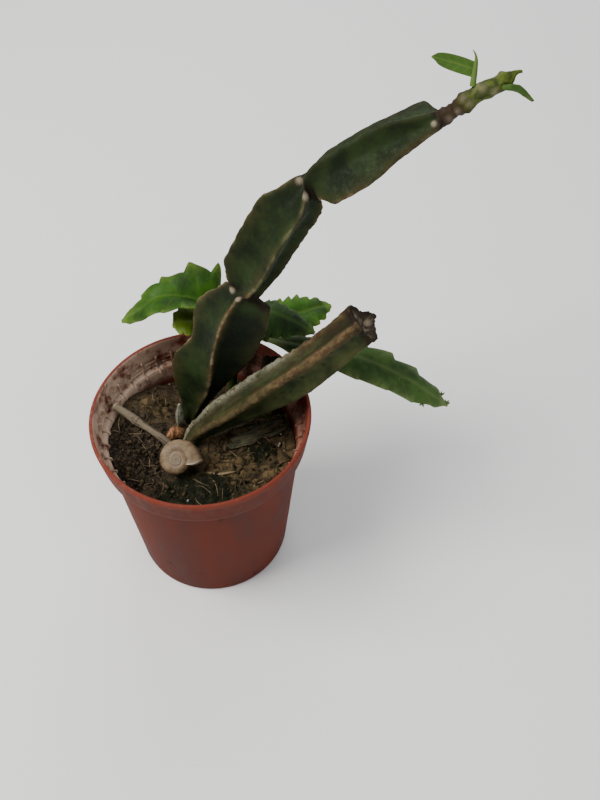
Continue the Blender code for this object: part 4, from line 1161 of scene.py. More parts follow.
# %% Cut stem
CUT_BASE = (-5.4, 1.2)
CUT_POINTS = ((-3.0, 1.7, 73.0), (4.2, 2.6, 79.2), (11.8, 3.5, 85.4), (26.0, 5.5, 97.8),
              (40.6, 8.0, 108.6), (48.8, 9.5, 115.4), (56.4, 11.0, 122.4), (64.6, 13.0, 129.4))
CUT_WINGS = ((3.8, 10.0, 7.3, 0.62, 0.45), (3.6, 8.4, 8.0, 0.40, 0.10),
             (3.8, 7.9, 8.7, 0.25, 0.30), (3.6, 8.0, 7.6, 0.40, 0.10))
cut_ground = float(soil_height(*CUT_BASE))
start = np.array([*CUT_BASE, cut_ground + 1.2])
cut_path = smooth_path([start - (0, 0, 6.0), start] + list(CUT_POINTS))
cut_along = lengths(cut_path)
s = np.arange(cut_along[16] + 0.5, cut_along[-1] + 0.01, 0.5)
t = (s - cut_along[16]) / (cut_along[-1] - cut_along[16])
reach = np.stack([wing_reach(w, t, s, 1.3 * n + 0.4, 0.010) for n, w in enumerate(CUT_WINGS)], -1)
turn = np.radians(blend(-12.0, 5.0, ease((t - 0.2) / 0.75))) * ease(t / 0.08)
rows, outward, along = lay_sections(cut_path, s, reach, turn, 3.0, 1.35)
print("cut stem is", round(cut_along[-1] - cut_along[16]), "mm long above its root")

# %% [markdown]
# Old cork splits across the stem. It is pushed out by noise, and a second noise that is squeezed
# along the stem cuts the notches. A few small pits are where buds or insects left their holes.

# %% Cork, splits and pits of the cut stem
CORK_AT_ENDS = ((0.1, 0.45), (0.45, 1.0), (1.0, 0.75), (0.6, 0.7))     # of each wing
WIDE_MARGIN = np.array([0.0, 0.0, 0.5, 1.0, 0.5, 0.0, 0.0, 0.2, 0.9, 1.0, 0.9, 0.30,
                        0.0, 0.25, 1.0, 1.0, 1.0, 0.5, 0.0, 0.35, 1.0, 1.0, 1.0, 0.35])
PITS = ((46.4, 9.8, 119.4, 0.8), (48.8, 4.3, 115.2, 0.8), (40.8, 2.9, 108.8, 0.8),
        (51.3, 5.2, 121.9, 0.8), (33.0, 1.6, 101.0, 0.8))
every_wing = np.ones((len(s), 4))
strength = np.stack([np.interp(t, [0.0, 1.0], ends) for ends in CORK_AT_ENDS], -1)
cork = wing_mask(WIDE_MARGIN, strength) * (1.0 + 0.45 * rough(rows, 4.0, 80))
cork = np.clip(cork, 0, 1) ** 1.6
lower_part = 1.0 - 0.85 * ease((t - 0.55) / 0.2)
flaky = wing_mask(np.ones(24), np.stack([0 * t + 0.1, 0 * t + 0.12, lower_part, 0 * t + 0.6], -1))
splits = np.exp(-(np.abs(noise(rows * (0.5, 0.5, 1.6), 1.5, 84)) / 0.16) ** 2) * cork
fluting = 0.10 * np.sin(round_off(np.tile(np.arange(24.0), (len(s), 1))) * 2.4)
height = (0.42 * cork * (0.5 + rough(rows, 1.5, 86)) - 0.30 * splits
          + 0.12 * rough(rows, 3.0, 89) + fluting * (1.0 - cork))
rows += outward * height[..., None]
pit = near_spots(rows, PITS)
rows -= outward * (0.5 * pit)[..., None]
print("cork covers", round(float((cork > 0.5).mean()) * 100), "% of the old stem")

# %% [markdown]
# Where it was cut, the wings have curled and dried to dark knobs. The far wing stands out
# furthest and has bent up, and the skin beside it fills the hollows on its two sides. A sculptor
# would pull these points by hand. Here each pull is a curve round the section.

# %% Cut end
ROUND_IT = [0, 6, 12, 18, 24]        # design points where the four wings stand
LONGER = (-0.4, -0.2, -1.6, 1.7)     # how far each wing stands past the mean cut
BENT_UP = np.array([-0.8, 0.0, 3.8])
centre, onward = walk(cut_path, np.array([cut_along[-1]]))
forwards = onward[0]
station = np.arange(AROUND) / 4.0     # place round the section, in design points
around = (station - 3.0) % 24.0
curl = ease((t - 0.955) / 0.045)[:, None]
wave = 0.7 * np.sin(0.9 * station) + 0.9 * rough(rows, 2.4, 91)
rows += forwards * (curl * wave)[..., None]
longer = np.interp(around, ROUND_IT, [*LONGER, LONGER[0]])
raised = np.interp(around, ROUND_IT, [0.0, 0.0, 0.0, 1.0, 0.0])
filled = np.interp(around, [12, 15, 18, 21, 24], [0.0, 2.8, 0.0, 1.5, 0.0]) * (around > 12)
dying = ease((t - 0.90) / 0.10)[:, None]
rows += forwards * (dying * longer)[..., None] + BENT_UP * (dying * raised)[..., None]
rows += outward * (dying * filled)[..., None]
knobs = 0.45 * wing_mask(AT_MARGIN, every_wing) + 0.5 * rough(rows, 1.8, 94)
rows += outward * (curl * knobs)[..., None]
print("the cut is", np.ptp(rows[-1], axis=0).round(1), "mm across")

# %% [markdown]
# Inside the cut the pith has shrunk. Seven more rows lead back inwards from the rim to a pale
# hollow, each a smaller copy of the end that lies a little deeper. Their masks are written at the
# same time: dark at the rim, pale and patchy in the middle.

# %% Sunken pith
SUNKEN = ((0.92, -0.2), (0.84, 0.4), (0.72, 1.3), (0.58, 1.9), (0.42, 2.2), (0.24, 2.5),
          (0.10, 2.7))     # size and depth
PALENESS = np.array([0.0, 0.05, 0.4, 0.8, 0.9, 0.9, 0.8])[:, None]
inner = []
for size, depth in SUNKEN:
    ring = centre[0] + (rows[-1] - centre[0]) * size - forwards * depth
    inner.append(ring + forwards * (0.35 * rough(ring, 1.6, 96))[:, None])
inner = np.array(inner)
full = np.concatenate([root_rows(CUT_BASE, cut_ground), rows, inner])
patchy = np.clip(0.62 + 0.8 * rough(inner, 1.3, 97), 0, 1)
pith = np.concatenate([np.zeros((len(ROOT) + len(rows), AROUND)), PALENESS * patchy])


def whole(mask, end_value=0.0):
    """Mask of the outside, with values for the root rows and the rows inside the cut."""
    inside_cut = np.full((len(SUNKEN), AROUND), end_value)
    return spread(np.concatenate([np.zeros((len(ROOT), AROUND)), mask, inside_cut]))


print("rows of the cut stem:", len(full))

# %% [markdown]
# Old age colours it unevenly. The face above the front ridge has turned to brown fibrous bark,
# and low down the face below the ridge is darkened to near-black green, which is painted shade.
# Both masks are broken up by streaks: noise on the unrolled stem, drawn out along its length.

# %% Bark side and shaded side
BARK_SIDE = np.concatenate([np.zeros(9), [0.3, 0.7, 0.95, 1.0, 1.0, 0.9, 0.7], np.zeros(8)])
SHADE_SIDE = np.concatenate([np.zeros(3), [0.5, 0.9, 1.0, 1.0, 0.7, 0.3], np.zeros(15)])
turned = round_angles(AROUND)
unrolled = np.broadcast_arrays(8.0 * np.cos(turned), 8.0 * np.sin(turned), 0.22 * s[:, None])
streaks = rough(np.stack(unrolled, -1), 1.3, 88)
barky = wing_mask(BARK_SIDE, every_wing) * np.clip(0.50 + 1.1 * streaks, 0, 1)
# Painted shade on the lower part of the face below the ridge, carried by the deep mask.
dim = (wing_mask(SHADE_SIDE, every_wing) * (1.0 - ease((t - 0.25) / 0.45))[:, None]
       * np.clip(0.62 + 0.8 * streaks, 0, 1))
print("bark on", round(float((barky > 0.5).mean()) * 100), "% of it")

# %% [markdown]
# The finish is the main stem's with an older palette. Every mask says what the outside shows, and
# one more value says what the rows inside the cut show.

# %% Cut stem piece
old = stem_finish("corky old stem", shade(28, 38, 17), shade(60, 70, 37), shade(66, 56, 32),
                  shade(102, 82, 50), shade(72, 46, 24), shade(124, 124, 104))
dried = ease((t - 0.945) / 0.04)[:, None] * (0.75 + 0.5 * rough(rows, 2.0, 98)) + 0 * cork
scarred = np.clip(np.maximum(1.3 * dried, pit), 0, 1)
blush = wing_mask(np.tile([0.1, 0.7, 1.0, 1.0, 1.0, 0.7], 4), strength) * 0.8
cut_masks = {name: whole(mask, end_value) for name, mask, end_value in (
    ("cork", cork, 0.0), ("blush", blush, 0.0), ("shoot", 0 * cork, 0.0), ("scar", scarred, 0.9),
    ("brown", 0.8 * barky, 0.5), ("deep", dim, 0.0), ("aged", flaky, 0.0))}
cut_masks["callus"] = spread(pith * 0.8)
points, faces = skin(full)
add_piece("corky_cut_stem", points, faces, old, ["cut_stem"], cut_masks)

# %% [markdown]
# ## The old stub
# Behind the cut stem stands the stump of one cut long ago: four blunt corners, dull olive, with a
# thin pale rim round a sunken top. It is a short stem with one radius.

# %% Stub
STUB_BASE, STUB_TOP = (25.0, 18.5), np.array([28.3, 20.0, 98.6])
stub_ground = float(soil_height(*STUB_BASE))
start = np.array([*STUB_BASE, stub_ground + 1.2])
stub_path = smooth_path([start - (0, 0, 6.0), start, (start + STUB_TOP) / 2, STUB_TOP])
stub_along = lengths(stub_path)
s = np.arange(stub_along[16] + 0.5, stub_along[-1] + 0.01, 0.5)
t = (s - stub_along[16]) / (stub_along[-1] - stub_along[16])
r = 3.4 + (4.6 - 3.4) * ease(t / 0.5)
rows, outward, along = lay_sections(stub_path, s, np.repeat(r[:, None], 4, 1), np.full(len(s), 0.6),
                                    (0.72 * r)[:, None], (0.3 * r)[:, None])
cork = wing_mask(AT_MARGIN, np.full((len(s), 4), 0.7)) * (1.0 + rough(rows, 3.0, 101))
cork = np.clip(cork, 0, 1)
height = 0.25 * cork * (0.5 + rough(rows, 1.3, 103)) + 0.12 * rough(rows, 2.0, 105)
rows += outward * height[..., None]
print("stub stands", round(float(STUB_TOP[2] - stub_ground)), "mm above the soil")

# %% [markdown]
# Its top has sunk as the cut stem's has, over as many rows, so that `whole` serves both.

# %% Top of the stub, and its piece
STUB_TOP_ROWS = ((0.93, -0.15), (0.80, 0.5), (0.6, 1.2), (0.4, 1.5), (0.2, 1.7), (0.08, 1.7),
                 (0.04, 1.7))
centre, onward = walk(stub_path, np.array([stub_along[-1]]))
forwards = onward[0]
uneven = forwards * (0.2 * rough(rows[-1], 1.5, 107))[:, None]
inner = [centre[0] + (rows[-1] - centre[0]) * size - forwards * depth + uneven
         for size, depth in STUB_TOP_ROWS]
full = np.concatenate([root_rows(STUB_BASE, stub_ground), rows, np.array(inner)])
points, faces = skin(full)
rim = ease((t - 0.93) / 0.05)[:, None] + 0 * cork
none = 0 * cork
stub_masks = {name: whole(mask, end_value) for name, mask, end_value in (
    ("cork", np.maximum(cork, 0.6 * rim), 0.0), ("blush", 0.6 + none, 0.0), ("callus", none, 0.0),
    ("shoot", none, 0.0), ("scar", none, 0.75), ("brown", 0.45 + none, 0.7),
    ("aged", 0.3 + none, 0.0))}
add_piece("old_stump", points, faces, old, ["old_stub"], stub_masks)

# %% [markdown]
# ## Leaves of the Kalanchoe seedling
# Each blade is folded along its midrib and has blunt teeth that lean to the tip. A table gives
# the width and fold of each half from base to tip, a saw curve cuts the teeth, and an upper and a
# lower sheet are sewn along the edge, thick at the midrib and thin at the margin.

# %% Leaf tables and teeth
def table_value(table, t, column):
    """Column of a design table at t, eased from row to row."""
    out = np.full(t.shape, float(table[-1][column]))
    for a, b in reversed(list(zip(table, table[1:]))):
        eased = blend(a[column], b[column], ease((t - a[0]) / (b[0] - a[0])))
        out = np.where(t <= b[0], eased, out)
    return out


def tooth_line(t, count):
    """Blunt teeth: each rises almost straight towards the tip, then drops back in a notch."""
    part = (t * count) % 1.0
    rise = np.clip(part / 0.86, 0, 1) ** 0.8
    return np.where(part < 0.86, rise, 1.0 - ease((part - 0.86) / 0.14))


print("one tooth:", tooth_line(np.linspace(0, 0.99, 5), 1).round(2))

# %% [markdown]
# The blade itself is a grid of stations along the midrib by places across it. Teeth, veins and
# quilting only show where the blade is broad, so everything is faded out on the petiole by one
# number, `broad`.

# %% Leaf blade
def blade(midrib, table, teeth, stations=180, halves=14, thick=1.1, seed=0):
    """Points, faces, masks and middle sheet of a leaf. teeth: count, depth left, depth right."""
    path = smooth_path(midrib)
    t = np.linspace(0.0, 1.0, stations + 1)[:, None]
    v = np.linspace(-1.0, 1.0, 2 * halves + 1)
    v = (np.sign(v) * np.abs(v) ** 0.85)[None, :]
    centre, along = walk(path, t[:, 0] * lengths(path)[-1], 2.0)
    side = unit(np.cross(along, np.array([0.0, 0.0, 1.0])))
    upper = unit(np.cross(side, along))
    t = t + 0 * v
    width = np.where(v > 0, table_value(table, t, 1), table_value(table, t, 3))
    fold = np.radians(np.where(v > 0, table_value(table, t, 2), table_value(table, t, 4)))
    broad = ease((width - 2.0) / 3.0)
    edge = np.abs(v) ** 5
    count, left, right = teeth
    tooth, saw = np.where(v > 0, left, right), tooth_line(t, count)
    width = width * (1.0 + tooth * broad * (saw - 0.5) * edge)
    reach = np.abs(v) * width

    to_vein = (t * count + 0.35 - 0.55 * np.abs(v)) % 1.0 - 0.5
    veins = np.exp(-(to_vein / 0.07) ** 2) * ease(np.abs(v) * 3) * broad
    middle = np.exp(-(reach / 0.9) ** 2)
    lift = 0.06 * width * np.sin(math.pi * np.abs(v)) + 1.4 * tooth * broad * edge * (saw - 0.5)
    sheet = (centre[:, None] + side[:, None] * (np.sign(v) * reach * np.cos(fold))[..., None]
             + upper[:, None] * (reach * np.sin(fold) + lift)[..., None])
    sheet += upper[:, None] * (0.28 * noise(sheet, 7.0, seed) * broad)[..., None]

    normal = unit(np.cross(np.gradient(sheet, axis=0), np.gradient(sheet, axis=1)))
    normal *= np.sign(np.sum(normal * upper[:, None], -1, keepdims=True))
    half = 0.5 * thick * (1.0 - 0.55 * np.abs(v) ** 3)
    top = sheet + normal * (half - 0.16 * middle * broad - 0.10 * veins)[..., None]
    low = sheet - normal * (half + 0.25 * middle * broad + 0.05 * veins)[..., None]
    border = sheet + side[:, None] * (0.22 * np.sign(v))[..., None]
    ring = np.concatenate([top, border[:, -1:], low[:, ::-1], border[:, :1]], axis=1)
    points, faces = skin(ring)

    masks = {"vein": np.clip(middle * broad + 0.35 * veins, 0, 1),
             "edge": np.clip(edge * saw * broad, 0, 1), "rib": 1.0 - broad,
             "tip": ease((t - 0.8) / 0.2)}
    masks = {name: spread(np.concatenate([m, m[:, -1:], m[:, ::-1], m[:, :1]], axis=1))
             for name, m in masks.items()}
    return points, faces, masks, sheet


trial = blade(np.eye(3) * 9.0, ((0.0, 1, 0, 1, 0), (1.0, 4, 0, 4, 0)), (3, 0.1, 0.1), 12, 4)
print("a test blade has", len(trial[1]), "faces")

# %% [markdown]
# The seedling's leaves in the light get a bright copy of its green, which is painted light, and the
# front right leaf and the seedling's stem a darker copy, which is painted shade. The small leaf is
# yellow-green and the long old one dull. Margins pale towards the tips of the teeth, veins are a
# little lighter, and the surface is softly quilted. A little light passes through the blade, so the
# finish has some subsurface scattering.

# %% Leaf finishes
def leaf_finish(name, dark, light, light_vein, mottle):
    leaf = Finish(name, Specular_IOR_Level=0.12, Subsurface_Weight=0.12, Subsurface_Scale=0.002)
    quilt = leaf.grain(3.4, 3.0, 0.6)
    clouds = leaf.grain(12.0, 3.0, 0.6)
    green = leaf.mottle(clouds, 0.34, 0.66, dark, light)
    green = leaf.layer(leaf.window(quilt, 0.54, 0.70, end=mottle), green, shade(34, 50, 22))
    green = leaf.layer(leaf.both(leaf.mark("vein"), 0.28), green, light_vein)
    green = leaf.layer(leaf.both(leaf.mark("rib"), 0.7), green, light_vein)
    pale_edge = leaf.both(leaf.mark("edge"), leaf.window(leaf.grain(1.5), 0.3, 0.6, 0.35, 0.8))
    leaf.paint(leaf.layer(pale_edge, green, light_vein))
    leaf.dull(quilt, 0.42, 0.62)
    leaf.relief(quilt, 0.18)
    leaf.relief(leaf.grain(0.7, 2.0), 0.04)
    return leaf


# bright is the lit copy of the seedling's green, painted light; shaded is the same green darkened,
# painted shade.
bright = leaf_finish("seedling leaf in light",
                     shade(27, 54, 8), shade(48, 86, 13), shade(92, 118, 42), 0.25)
shaded = leaf_finish("seedling leaf in shade",
                     shade(12, 26, 7), shade(30, 54, 14), shade(70, 94, 38), 0.4)
yellow = leaf_finish("yellow-green leaf",
                     shade(54, 76, 10), shade(80, 102, 18), shade(124, 136, 60), 0.15)
dull_green = leaf_finish("long old leaf",
                         shade(40, 62, 26), shade(62, 88, 38), shade(112, 126, 76), 0.45)
print("leaf finishes: 4")

# %% [markdown]
# The seedling's stem is hidden behind the big stem, so it only has to carry its leaves: a thin rod
# with a slight swelling where each pair of leaves springs off.

# %% Kalanchoe stem
STALK_LOW, STALK_TOP = np.array([10.0, 31.0, 68.0]), np.array([13.5, 36.5, 106.0])


def stalk_at(z):
    return STALK_LOW + (STALK_TOP - STALK_LOW) * (z - STALK_LOW[2]) / (STALK_TOP[2] - STALK_LOW[2])


ground_here = float(soil_height(10.0, 31.0))
knots = [(10.0, 31.0, ground_here + up) for up in (-14.0, -4.0, 1.5)]
radii = [1.6, 2.0, 2.0]
for k in range(1, 9):
    knots.append(stalk_at(blend(ground_here + 3.0, STALK_TOP[2], k / 8)))
    radii.append(2.0 * (1.0 - 0.12 * (k % 2)) * (0.55 if k == 8 else 1.0))
rows, _ = rod(knots, radii, 20, 0.5, wobble=0.06, seed=110)
points, faces = skin(rows)
zero = np.zeros(len(points))
woody = spread(0.5 + 0.5 * rough(rows, 3.0, 112))
# The hidden stem takes the shaded copy of the green: painted shade.
add_piece("seedling_stem", points, faces, shaded, ["kalanchoe_stem"],
          {"vein": zero, "edge": zero, "rib": woody, "tip": zero})

# %% [markdown]
# The leaves' midribs start from the solids' own, so that each blade springs a hair's breadth from
# the stem. Their outlines were then set against the real leaves: no two have the same teeth, and
# on some only one side shows them.

# %% Leaf designs
# Each has its height on the stem, its midrib, its table of (place, left width, left fold,
# right width, right fold), its teeth (count, depth left, depth right) and its finish.
LEAVES = {
    "left_leaf": (
        104.6,
        ((3.5, 37.0, 112.4), (-7.4, 38.0, 116.9), (-18.4, 37.4, 117.0), (-27.0, 34.8, 111.2),
         (-33.7, 33.0, 107.3)),
        ((0.0, 1.3, 0, 1.3, 0), (0.14, 2.4, 25, 2.4, 20), (0.28, 15.4, 32, 10.5, 32),
         (0.42, 13.2, 30, 11.6, 26), (0.58, 7.6, 24, 10.8, 10), (0.78, 4.4, 12, 6.8, 4),
         (0.92, 3.2, 6, 4.0, 0), (1.0, 0.9, 0, 0.9, 0)),
        (6.45, 0.30, 0.05), bright),
    "small_leaf": (
        98.6,
        ((7.0, 35.0, 103.4), (-1.2, 33.6, 107.2), (-7.9, 31.6, 109.4), (-12.5, 30.4, 107.7)),
        ((0.0, 1.2, 0, 1.2, 0), (0.30, 1.8, 0, 1.8, 0), (0.50, 5.4, 16, 5.4, -12),
         (0.76, 7.2, 16, 6.8, -16), (0.92, 5.6, 12, 5.4, -12), (1.0, 0.9, 0, 0.9, 0)),
        (7, 0.18, 0.18), yellow),
    "front_right_leaf": (
        102.6,
        ((21.0, 37.2, 108.6), (27.6, 36.4, 110.9), (35.9, 35.0, 107.6), (41.8, 34.0, 104.0),
         (45.8, 33.2, 101.8)),
        ((0.0, 1.3, 0, 1.3, 0), (0.14, 2.4, -4, 2.4, -4), (0.40, 13.6, -16, 8.0, -10),
         (0.66, 9.0, -16, 6.4, -8), (0.86, 4.2, -10, 4.0, -4), (1.0, 0.9, 0, 0.9, 0)),
        (8, 0.20, 0.20), shaded),
    "back_right_leaf": (
        94.6,
        ((20.5, 41.6, 95.4), (28.9, 46.0, 96.0), (39.6, 50.0, 96.4), (47.4, 53.0, 96.4),
         (53.1, 55.0, 95.8)),
        ((0.0, 1.3, 0, 1.3, 0), (0.16, 2.4, 4, 2.4, 4), (0.44, 9.2, 6, 8.6, 10),
         (0.70, 10.4, -2, 8.4, 10), (0.86, 7.0, -4, 5.8, 4), (0.95, 3.4, 0, 3.0, 2),
         (1.0, 0.9, 0, 0.9, 0)),
        (11, 0.26, 0.26), bright),
    "long_leaf": (
        98.2,
        ((20.5, 35.4, 97.8), (29.2, 33.0, 97.6), (41.9, 29.0, 98.4), (56.4, 25.0, 99.0),
         (71.0, 22.0, 96.2), (86.4, 20.0, 87.4), (103.6, 18.0, 73.8)),
        ((0.0, 1.3, 0, 1.3, 0), (0.12, 2.2, 0, 2.2, 0), (0.32, 7.0, -12, 6.4, -4),
         (0.56, 9.4, -18, 8.7, -4), (0.80, 8.4, -18, 8.0, -4), (0.92, 5.0, -10, 4.9, 0),
         (1.0, 0.9, 0, 0.9, 0)),
        (7.25, 0.06, 0.34), dull_green),
}
print("teeth:", {name: design[3][0] for name, design in LEAVES.items()})

# %% [markdown]
# One loop makes all five. The sheets are kept, because the long leaf's margin carries plantlets.

# %% Five leaves
sheets = {}
for number, (name, (spring, run, table, teeth, finish)) in enumerate(LEAVES.items()):
    axis = stalk_at(spring)
    away = unit(np.array([run[0][0] - axis[0], run[0][1] - axis[1], 0.0]))
    midrib = [axis + away * 2.3] + list(run)
    points, faces, masks, sheets[name] = blade(midrib, table, teeth, seed=120 + number)
    add_piece(name + "_blade", points, faces, finish, [name], masks)

# %% [markdown]
# Old leaves of this Kalanchoe carry plantlets in their notches. Three tiny leaves in a rosette,
# set on the margin of the long leaf at four spots near its tip, are all that shows of each.

# %% Plantlets
def leaflet(centre, heading, long, wide):
    """Tiny plump leaf: a rod that swells in the middle, flattened."""
    rows, _ = rod([centre, centre + heading * long * 0.5, centre + heading * long],
                  [0.25 * wide, wide, 0.2 * wide], 8, long / 6)
    return skin(rows)


ROSETTES = ((173, 0), (179, 14), (156, 28), (130, 15))     # station along and column across
parts = []
sheet = sheets["long_leaf"]
for station, column in ROSETTES:
    spot = sheet[station, column]
    outwards = unit(spot - sheet[station, 14] + 1e-6)
    for k in range(3):
        fan = 2.1 * k + station
        heading = unit(outwards + 0.8 * np.array([math.cos(fan), math.sin(fan), 0.6]))
        parts.append(leaflet(spot, heading, 2.3, 0.5))
points, faces = gather(parts)
zero = np.zeros(len(points))
add_piece("plantlets", points, faces, dull_green,
          masks={"vein": zero, "edge": zero + 0.6, "rib": zero, "tip": zero})

# %% [markdown]
# ## The shoot's leaf, tendril and tip leaflet
# Near the end of the young shoot one oval leaf stands on a short stalk beside a thin hooked
# tendril, and a claw-shaped leaflet curls under the tip. They are soft and thin, so they get a
# fresh green finish of their own.

# %% Shoot leaf outline
fresh = leaf_finish("fresh shoot leaf",
                    shade(48, 74, 26), shade(66, 96, 36), shade(112, 130, 64), 0.1)
FOOT = np.array([92.1, 27.8, 222.9])
lean = math.radians(30.0)
up, out = np.array([0.0, math.sin(lean), math.cos(lean)]), np.array([-1.0, 0.0, 0.0])
face = np.cross(out, up)
corner = FOOT + up * 0.6
u, v = np.linspace(0, 1, 61)[:, None], np.linspace(0, 1, 25)[None, :]
lower_edge = 0.7 + 3.4 * u + 1.0 * u ** 3
upper_edge = 5.4 + 5.4 * u - 2.7 * u ** 2
rise = lower_edge + (upper_edge - lower_edge) * (0.5 + (v - 0.5) * (1.0 - 0.5 * u ** 9))
away = u * 13.4 - 1.2 * u ** 9 * (2.0 * v - 1.0) ** 2
cup = 0.9 * np.sin(math.pi * v) * (1.0 - u ** 3) + 0.5 * np.sin(math.pi * u) + 0 * v
sheet = corner + out * away[..., None] + up * rise[..., None] + face * cup[..., None]
print("shoot leaf is", round(float(away.max()), 1), "mm long")

# %% [markdown]
# The blade gets two faces and sunken veins, and stalk and tendril are one rod that thins out
# beside it. All three belong to one solid, so they are gathered in one piece.

# %% Shoot leaf, stalk and tendril
half = 0.42 * (1.0 - 0.6 * np.abs(2 * v - 1) ** 3) * (1.0 - 0.5 * ease((u - 0.85) / 0.15))
half = half[..., None] + 0 * sheet
side_veins = (u * 5 - np.abs(v - 0.5) * 2) % 1.0 - 0.5
vein = np.exp(-((v - 0.5) / 0.06) ** 2) + 0.5 * np.exp(-(side_veins / 0.09) ** 2)
top = sheet + face * half
low = (top - face * 0.18 * vein[..., None])[:, ::-1] - 2 * (face * half)[:, ::-1]
blade_points, blade_faces = skin(np.concatenate([top, low], axis=1))
vein_mask = spread(np.concatenate([vein, vein[:, ::-1]], axis=1))
STALK = ((-0.1, 0.9), (-0.25, 2.3), (-0.3, 4.0), (-0.4, 5.6), (-0.2, 6.9), (0.3, 8.0), (0.95, 8.7))
stalk = [FOOT - up * 1.2, FOOT + up * 0.5] + [corner + out * a + up * b for a, b in STALK]
radii = [1.0, 0.95, 0.9, 0.85, 0.75, 0.55, 0.36, 0.24, 0.15]
rows, _ = rod(stalk, radii, 14, 0.35, wobble=0.05, seed=130)
points, faces = gather([(blade_points, blade_faces), skin(rows)])
tail = np.zeros(len(points) - len(vein_mask))
add_piece("shoot_leaf_blade", points, faces, fresh, ["shoot_leaf"],
          {"vein": np.clip(np.concatenate([vein_mask, tail]), 0, 1), "edge": 0 * points[:, 0],
           "rib": np.concatenate([0 * vein_mask, tail + 0.5]), "tip": 0 * points[:, 0]})

# %% [markdown]
# The leaflet under the tip is curled like a claw: a flat rod, wide in the middle, with a shallow
# groove along its back.

# %% Tip leaflet
claw = smooth_path([(100.4, 23.4, 224.2), (102.0, 22.6, 224.7), (103.2, 23.2, 224.4),
                    (104.7, 24.2, 223.5), (106.2, 25.0, 222.5), (108.8, 25.4, 220.4),
                    (111.2, 25.4, 218.3)])
t = np.linspace(0.0, 1.0, 60)
centre, along = walk(claw, t * lengths(claw)[-1], 0.6)
right, front = axes(along)
wide = 1.2 * np.sin(math.pi * (0.2 + 0.74 * t)) ** 0.7
angle = round_angles(24)
thick = (0.45 + 0.3 * np.sin(math.pi * t))[:, None]
rows = (centre[:, None] + right[:, None] * (wide[:, None] * np.cos(angle))[..., None]
        + front[:, None] * (thick * np.sin(angle) - 0.25 * np.cos(angle) ** 2)[..., None])
rows += 0.06 * rough(rows, 1.5, 133)[..., None]
points, faces = skin(rows)
zero = np.zeros(len(points))
pale_end = spread(0.5 * ease((t - 0.6) / 0.4)[:, None] + 0 * rows[..., 0])
add_piece("claw_leaflet", points, faces, fresh, ["tip_leaflet"],
          {"vein": zero + 0.15, "edge": pale_end, "rib": zero, "tip": zero})

# %% [markdown]
# ## The snail shell
# A shell is a tube that winds round an axis while it widens by the same share every turn. Rows of
# a circle are placed along that winding, each overlapping the one before, which leaves the groove
# of the seam by itself. A sculpted disc with a drawn spiral would look right only from above.

# %% Shell
WINDINGS = 4.5
turn = np.linspace(-math.tau * WINDINGS, 0.0, 520)[:, None]     # 0 is the lip
ring_angle = round_angles(44)
wound = turn + 0.33 * (1.0 - np.cos(ring_angle)) * ease(1.0 + turn / 1.2)    # the lip is oblique
size = (10.4 * 2.0 ** (wound / math.tau))[..., None]               # twice as big each turn
tilt = math.radians(32.0)
AXIS = np.array([0.0, -math.sin(tilt), math.cos(tilt)])
ACROSS, UPWARDS = np.array([1.0, 0.0, 0.0]), np.array([0.0, math.cos(tilt), math.sin(tilt)])
outward = ACROSS * np.cos(wound)[..., None] - UPWARDS * np.sin(wound)[..., None]
swell = (1.0 + 0.006 * np.sin(turn * 24.0) + 0.05 * ease((turn + 0.25) / 0.25))
rows = (outward * (0.61 + 0.43 * swell * np.cos(ring_angle))[..., None]
        + AXIS * (0.46 * swell * np.sin(ring_angle) - 0.50)[..., None]) * size
print("shell winds", WINDINGS, "times")

# %% [markdown]
# At the mouth the rows turn back inside, every fourth row of the last stretch a little smaller, so
# the lip has a thickness. The whole coil is then fitted to the box of its solid.

# %% Shell mouth and fit
inner = rows[-1:-49:-4]
hub = inner.mean(1, keepdims=True)
rows = np.concatenate([rows, hub + (inner - hub) * 0.88])
box_low, box_high = (np.array(corner) * 1000.0 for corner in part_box("snail_shell"))
low_c, high_c = rows.reshape(-1, 3).min(0), rows.reshape(-1, 3).max(0)
print("coil", np.round(high_c - low_c, 1), "mm, solid", np.round(box_high - box_low, 1), "mm")
fit = ((box_high - box_low) / (high_c - low_c)).mean()
rows = (rows - (low_c + high_c) / 2) * fit + (box_low + box_high) / 2
rows += from_middle(rows) * (0.08 * rough(rows, 2.2, 140))[..., None]

# %% [markdown]
# The shell has lain in the sun: its skin is worn to a chalky grey-brown with darker blotches, the
# oldest turns are the greyest, dirt sits in the seam, the lip is palest and the inside of the mouth
# is darkened, which is painted shade.

# %% Shell finish and piece
bone = Finish("weathered shell", Specular_IOR_Level=0.4)
bands = bone.grain(3.0, 4.0, 0.65)
lime = bone.mottle(bands, 0.34, 0.66, shade(100, 82, 60), shade(134, 113, 86))
grey_top = bone.layer(bone.grain(1.2), shade(96, 82, 64), shade(134, 120, 100))
lime = bone.layer(bone.mark("spire"), lime, grey_top)
blotches = bone.window(bone.grain(0.8, 3.0, 0.7), 0.60, 0.72, end=0.6)
lime = bone.layer(blotches, lime, shade(84, 66, 48))
# Dirt in the seam; inside the mouth the same mark is painted shade.
lime = bone.layer(bone.both(bone.mark("seam"), 0.75), lime, shade(66, 50, 35))
bone.paint(bone.layer(bone.mark("lip"), lime, shade(190, 174, 148)))
bone.dull(bands, 0.45, 0.75)
bone.relief(bands, 0.12)
bone.relief(bone.grain(0.6, 3.0), 0.06)
points, faces = skin(rows)
turn_all = np.concatenate([turn, np.zeros((12, 1))])
early = spread(ease((-turn_all / math.tau - 1.0) / 0.4) + 0 * rows[..., 0])
seam = 0.7 * np.exp(-((ring_angle - 2.5) / 0.22) ** 2)[None, :] + 0 * rows[..., 0]
